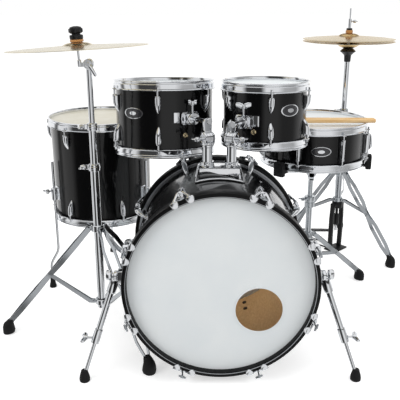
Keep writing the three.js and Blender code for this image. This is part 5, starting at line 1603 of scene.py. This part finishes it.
# %% World
STUDIO = [
    (-180, 1.0), (-114, 0.95), (-106, 0.15), (-100, 0.15), (-94, 0.8), (-68, 0.74), (-54, 0.05),
    (-16, 0.05), (-3, 0.78), (27, 0.78), (45, 0.44), (78, 0.38), (96, 0.8), (120, 1.0),
]
OPEN_LEVEL, BAND_LEVEL, BOUNCE_LEVEL = 0.85, 0.06, 0.7
world = bpy.data.worlds.new("studio")
bpy.context.scene.world = world
world.use_nodes = True
world.node_tree.nodes.clear()


def between(value, start, end):
    """Goes from 0 to 1 while the value goes from start to end."""
    return node(world, "ShaderNodeMapRange", {"Value": value, "From Min": start, "From Max": end}).outputs[0]


def maths(first, second, operation):
    """Puts two values through one operation."""
    return node(world, "ShaderNodeMath", {0: first, 1: second}, operation=operation).outputs[0]


def fading(value, start, end):
    """Goes from one level to another while the value goes from 0 to 1."""
    return node(world, "ShaderNodeMapRange", {"Value": value, "To Min": start, "To Max": end}).outputs[0]


path = node(world, "ShaderNodeLightPath")
facing = node(world, "ShaderNodeTexCoord").outputs["Generated"]
parts = node(world, "ShaderNodeSeparateXYZ", {"Vector": facing}).outputs
round_about = maths(parts["X"], maths(parts["Y"], -1.0, "MULTIPLY"), "ARCTAN2")
walls = node(world, "ShaderNodeValToRGB", {"Fac": between(round_about, -pi, pi)})
fill_ramp(walls, [((angle + 180) / 360, (level, level, level, 1)) for angle, level in STUDIO])
ends = maths(between(parts["Z"], 0.58, 0.7), between(parts["Z"], -0.5, -0.8), "MAXIMUM")
band = maths(between(parts["Z"], 0.36, 0.44), between(parts["Z"], 0.66, 0.58), "MULTIPLY")
level = fading(band, fading(ends, walls.outputs["Color"], OPEN_LEVEL), BAND_LEVEL)
bounce, mirror, white = (
    node(world, "ShaderNodeBackground", {"Color": (1, 1, 1, 1), "Strength": strength})
    for strength in (BOUNCE_LEVEL, level, 1.0)
)
gloss = mixed(world, path.outputs["Is Glossy Ray"], bounce, mirror)
sky = mixed(world, seen_directly(world, path), gloss, white)
node(world, "ShaderNodeOutputWorld", {"Surface": sky.outputs[0]})
print("studio levels", len(STUDIO))

# %% [markdown]
# ### Lamps
# They are hidden from reflections, since the studio draws those. A small spot inside the bass drum shines
# straight down on the shell, so the wood shows through the port; a bare bulb would leave a bright wedge.

# %% Lamps
def softbox(name, place, aim, wide, tall, watts):
    """A rectangular lamp that points at a place."""
    lamp = bpy.data.lights.new(name, "AREA")
    lamp.shape, lamp.size, lamp.size_y, lamp.energy = "RECTANGLE", wide, tall, watts
    box = bpy.data.objects.new(name, lamp)
    box.location = place
    box.rotation_euler = (Vector(aim) - Vector(place)).to_track_quat("-Z", "Y").to_euler()
    box.visible_glossy = False
    bpy.context.scene.collection.objects.link(box)
    print(f"{name}: {watts} W")


softbox("left box", (-2.6, -2.2, 1.8), (0, 0, 0.5), 1.6, 1.8, 30)
softbox("right box", (2.8, -1.8, 1.8), (0, 0, 0.5), 1.6, 1.8, 26)
softbox("overhead", (0, -0.4, 3.2), (0, 0, 0.4), 2.4, 2.0, 21)
softbox("back box", (0.4, 3.2, 1.3), (0, 0, 0.5), 2.2, 1.6, 20)
rear_top = Vector(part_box("bass_shell")[1])
bulb = bpy.data.lights.new("bass drum fill", "SPOT")
bulb.energy, bulb.shadow_soft_size = 3.5, 0.03
bulb.spot_size, bulb.spot_blend = radians(110), 0.5
fill = bpy.data.objects.new("bass drum fill", bulb)
fill.location = (0.05, rear_top.y - 0.03, rear_top.z - 0.1)
fill.visible_glossy = False
bpy.context.scene.collection.objects.link(fill)

# %% [markdown]
# ### Camera
# A lens of medium length stands about two metres in front and looks down a little, as a catalogue view does.

# %% Camera
LOOK_DOWN, ROLL, TURN = 18.178, 0.0018, -0.188  # degrees, radians, degrees
view = bpy.data.cameras.new("camera")
view.lens, view.sensor_width = 56.66, 36
camera = bpy.data.objects.new("camera", view)
camera.rotation_euler = (radians(90 - LOOK_DOWN), ROLL, radians(TURN))
camera.location = (-0.07664, -2.16739, 1.0552)
bpy.context.scene.collection.objects.link(camera)
bpy.context.scene.camera = camera
bpy.context.scene.view_settings.view_transform = "Standard"
print("lens", view.lens, "mm")
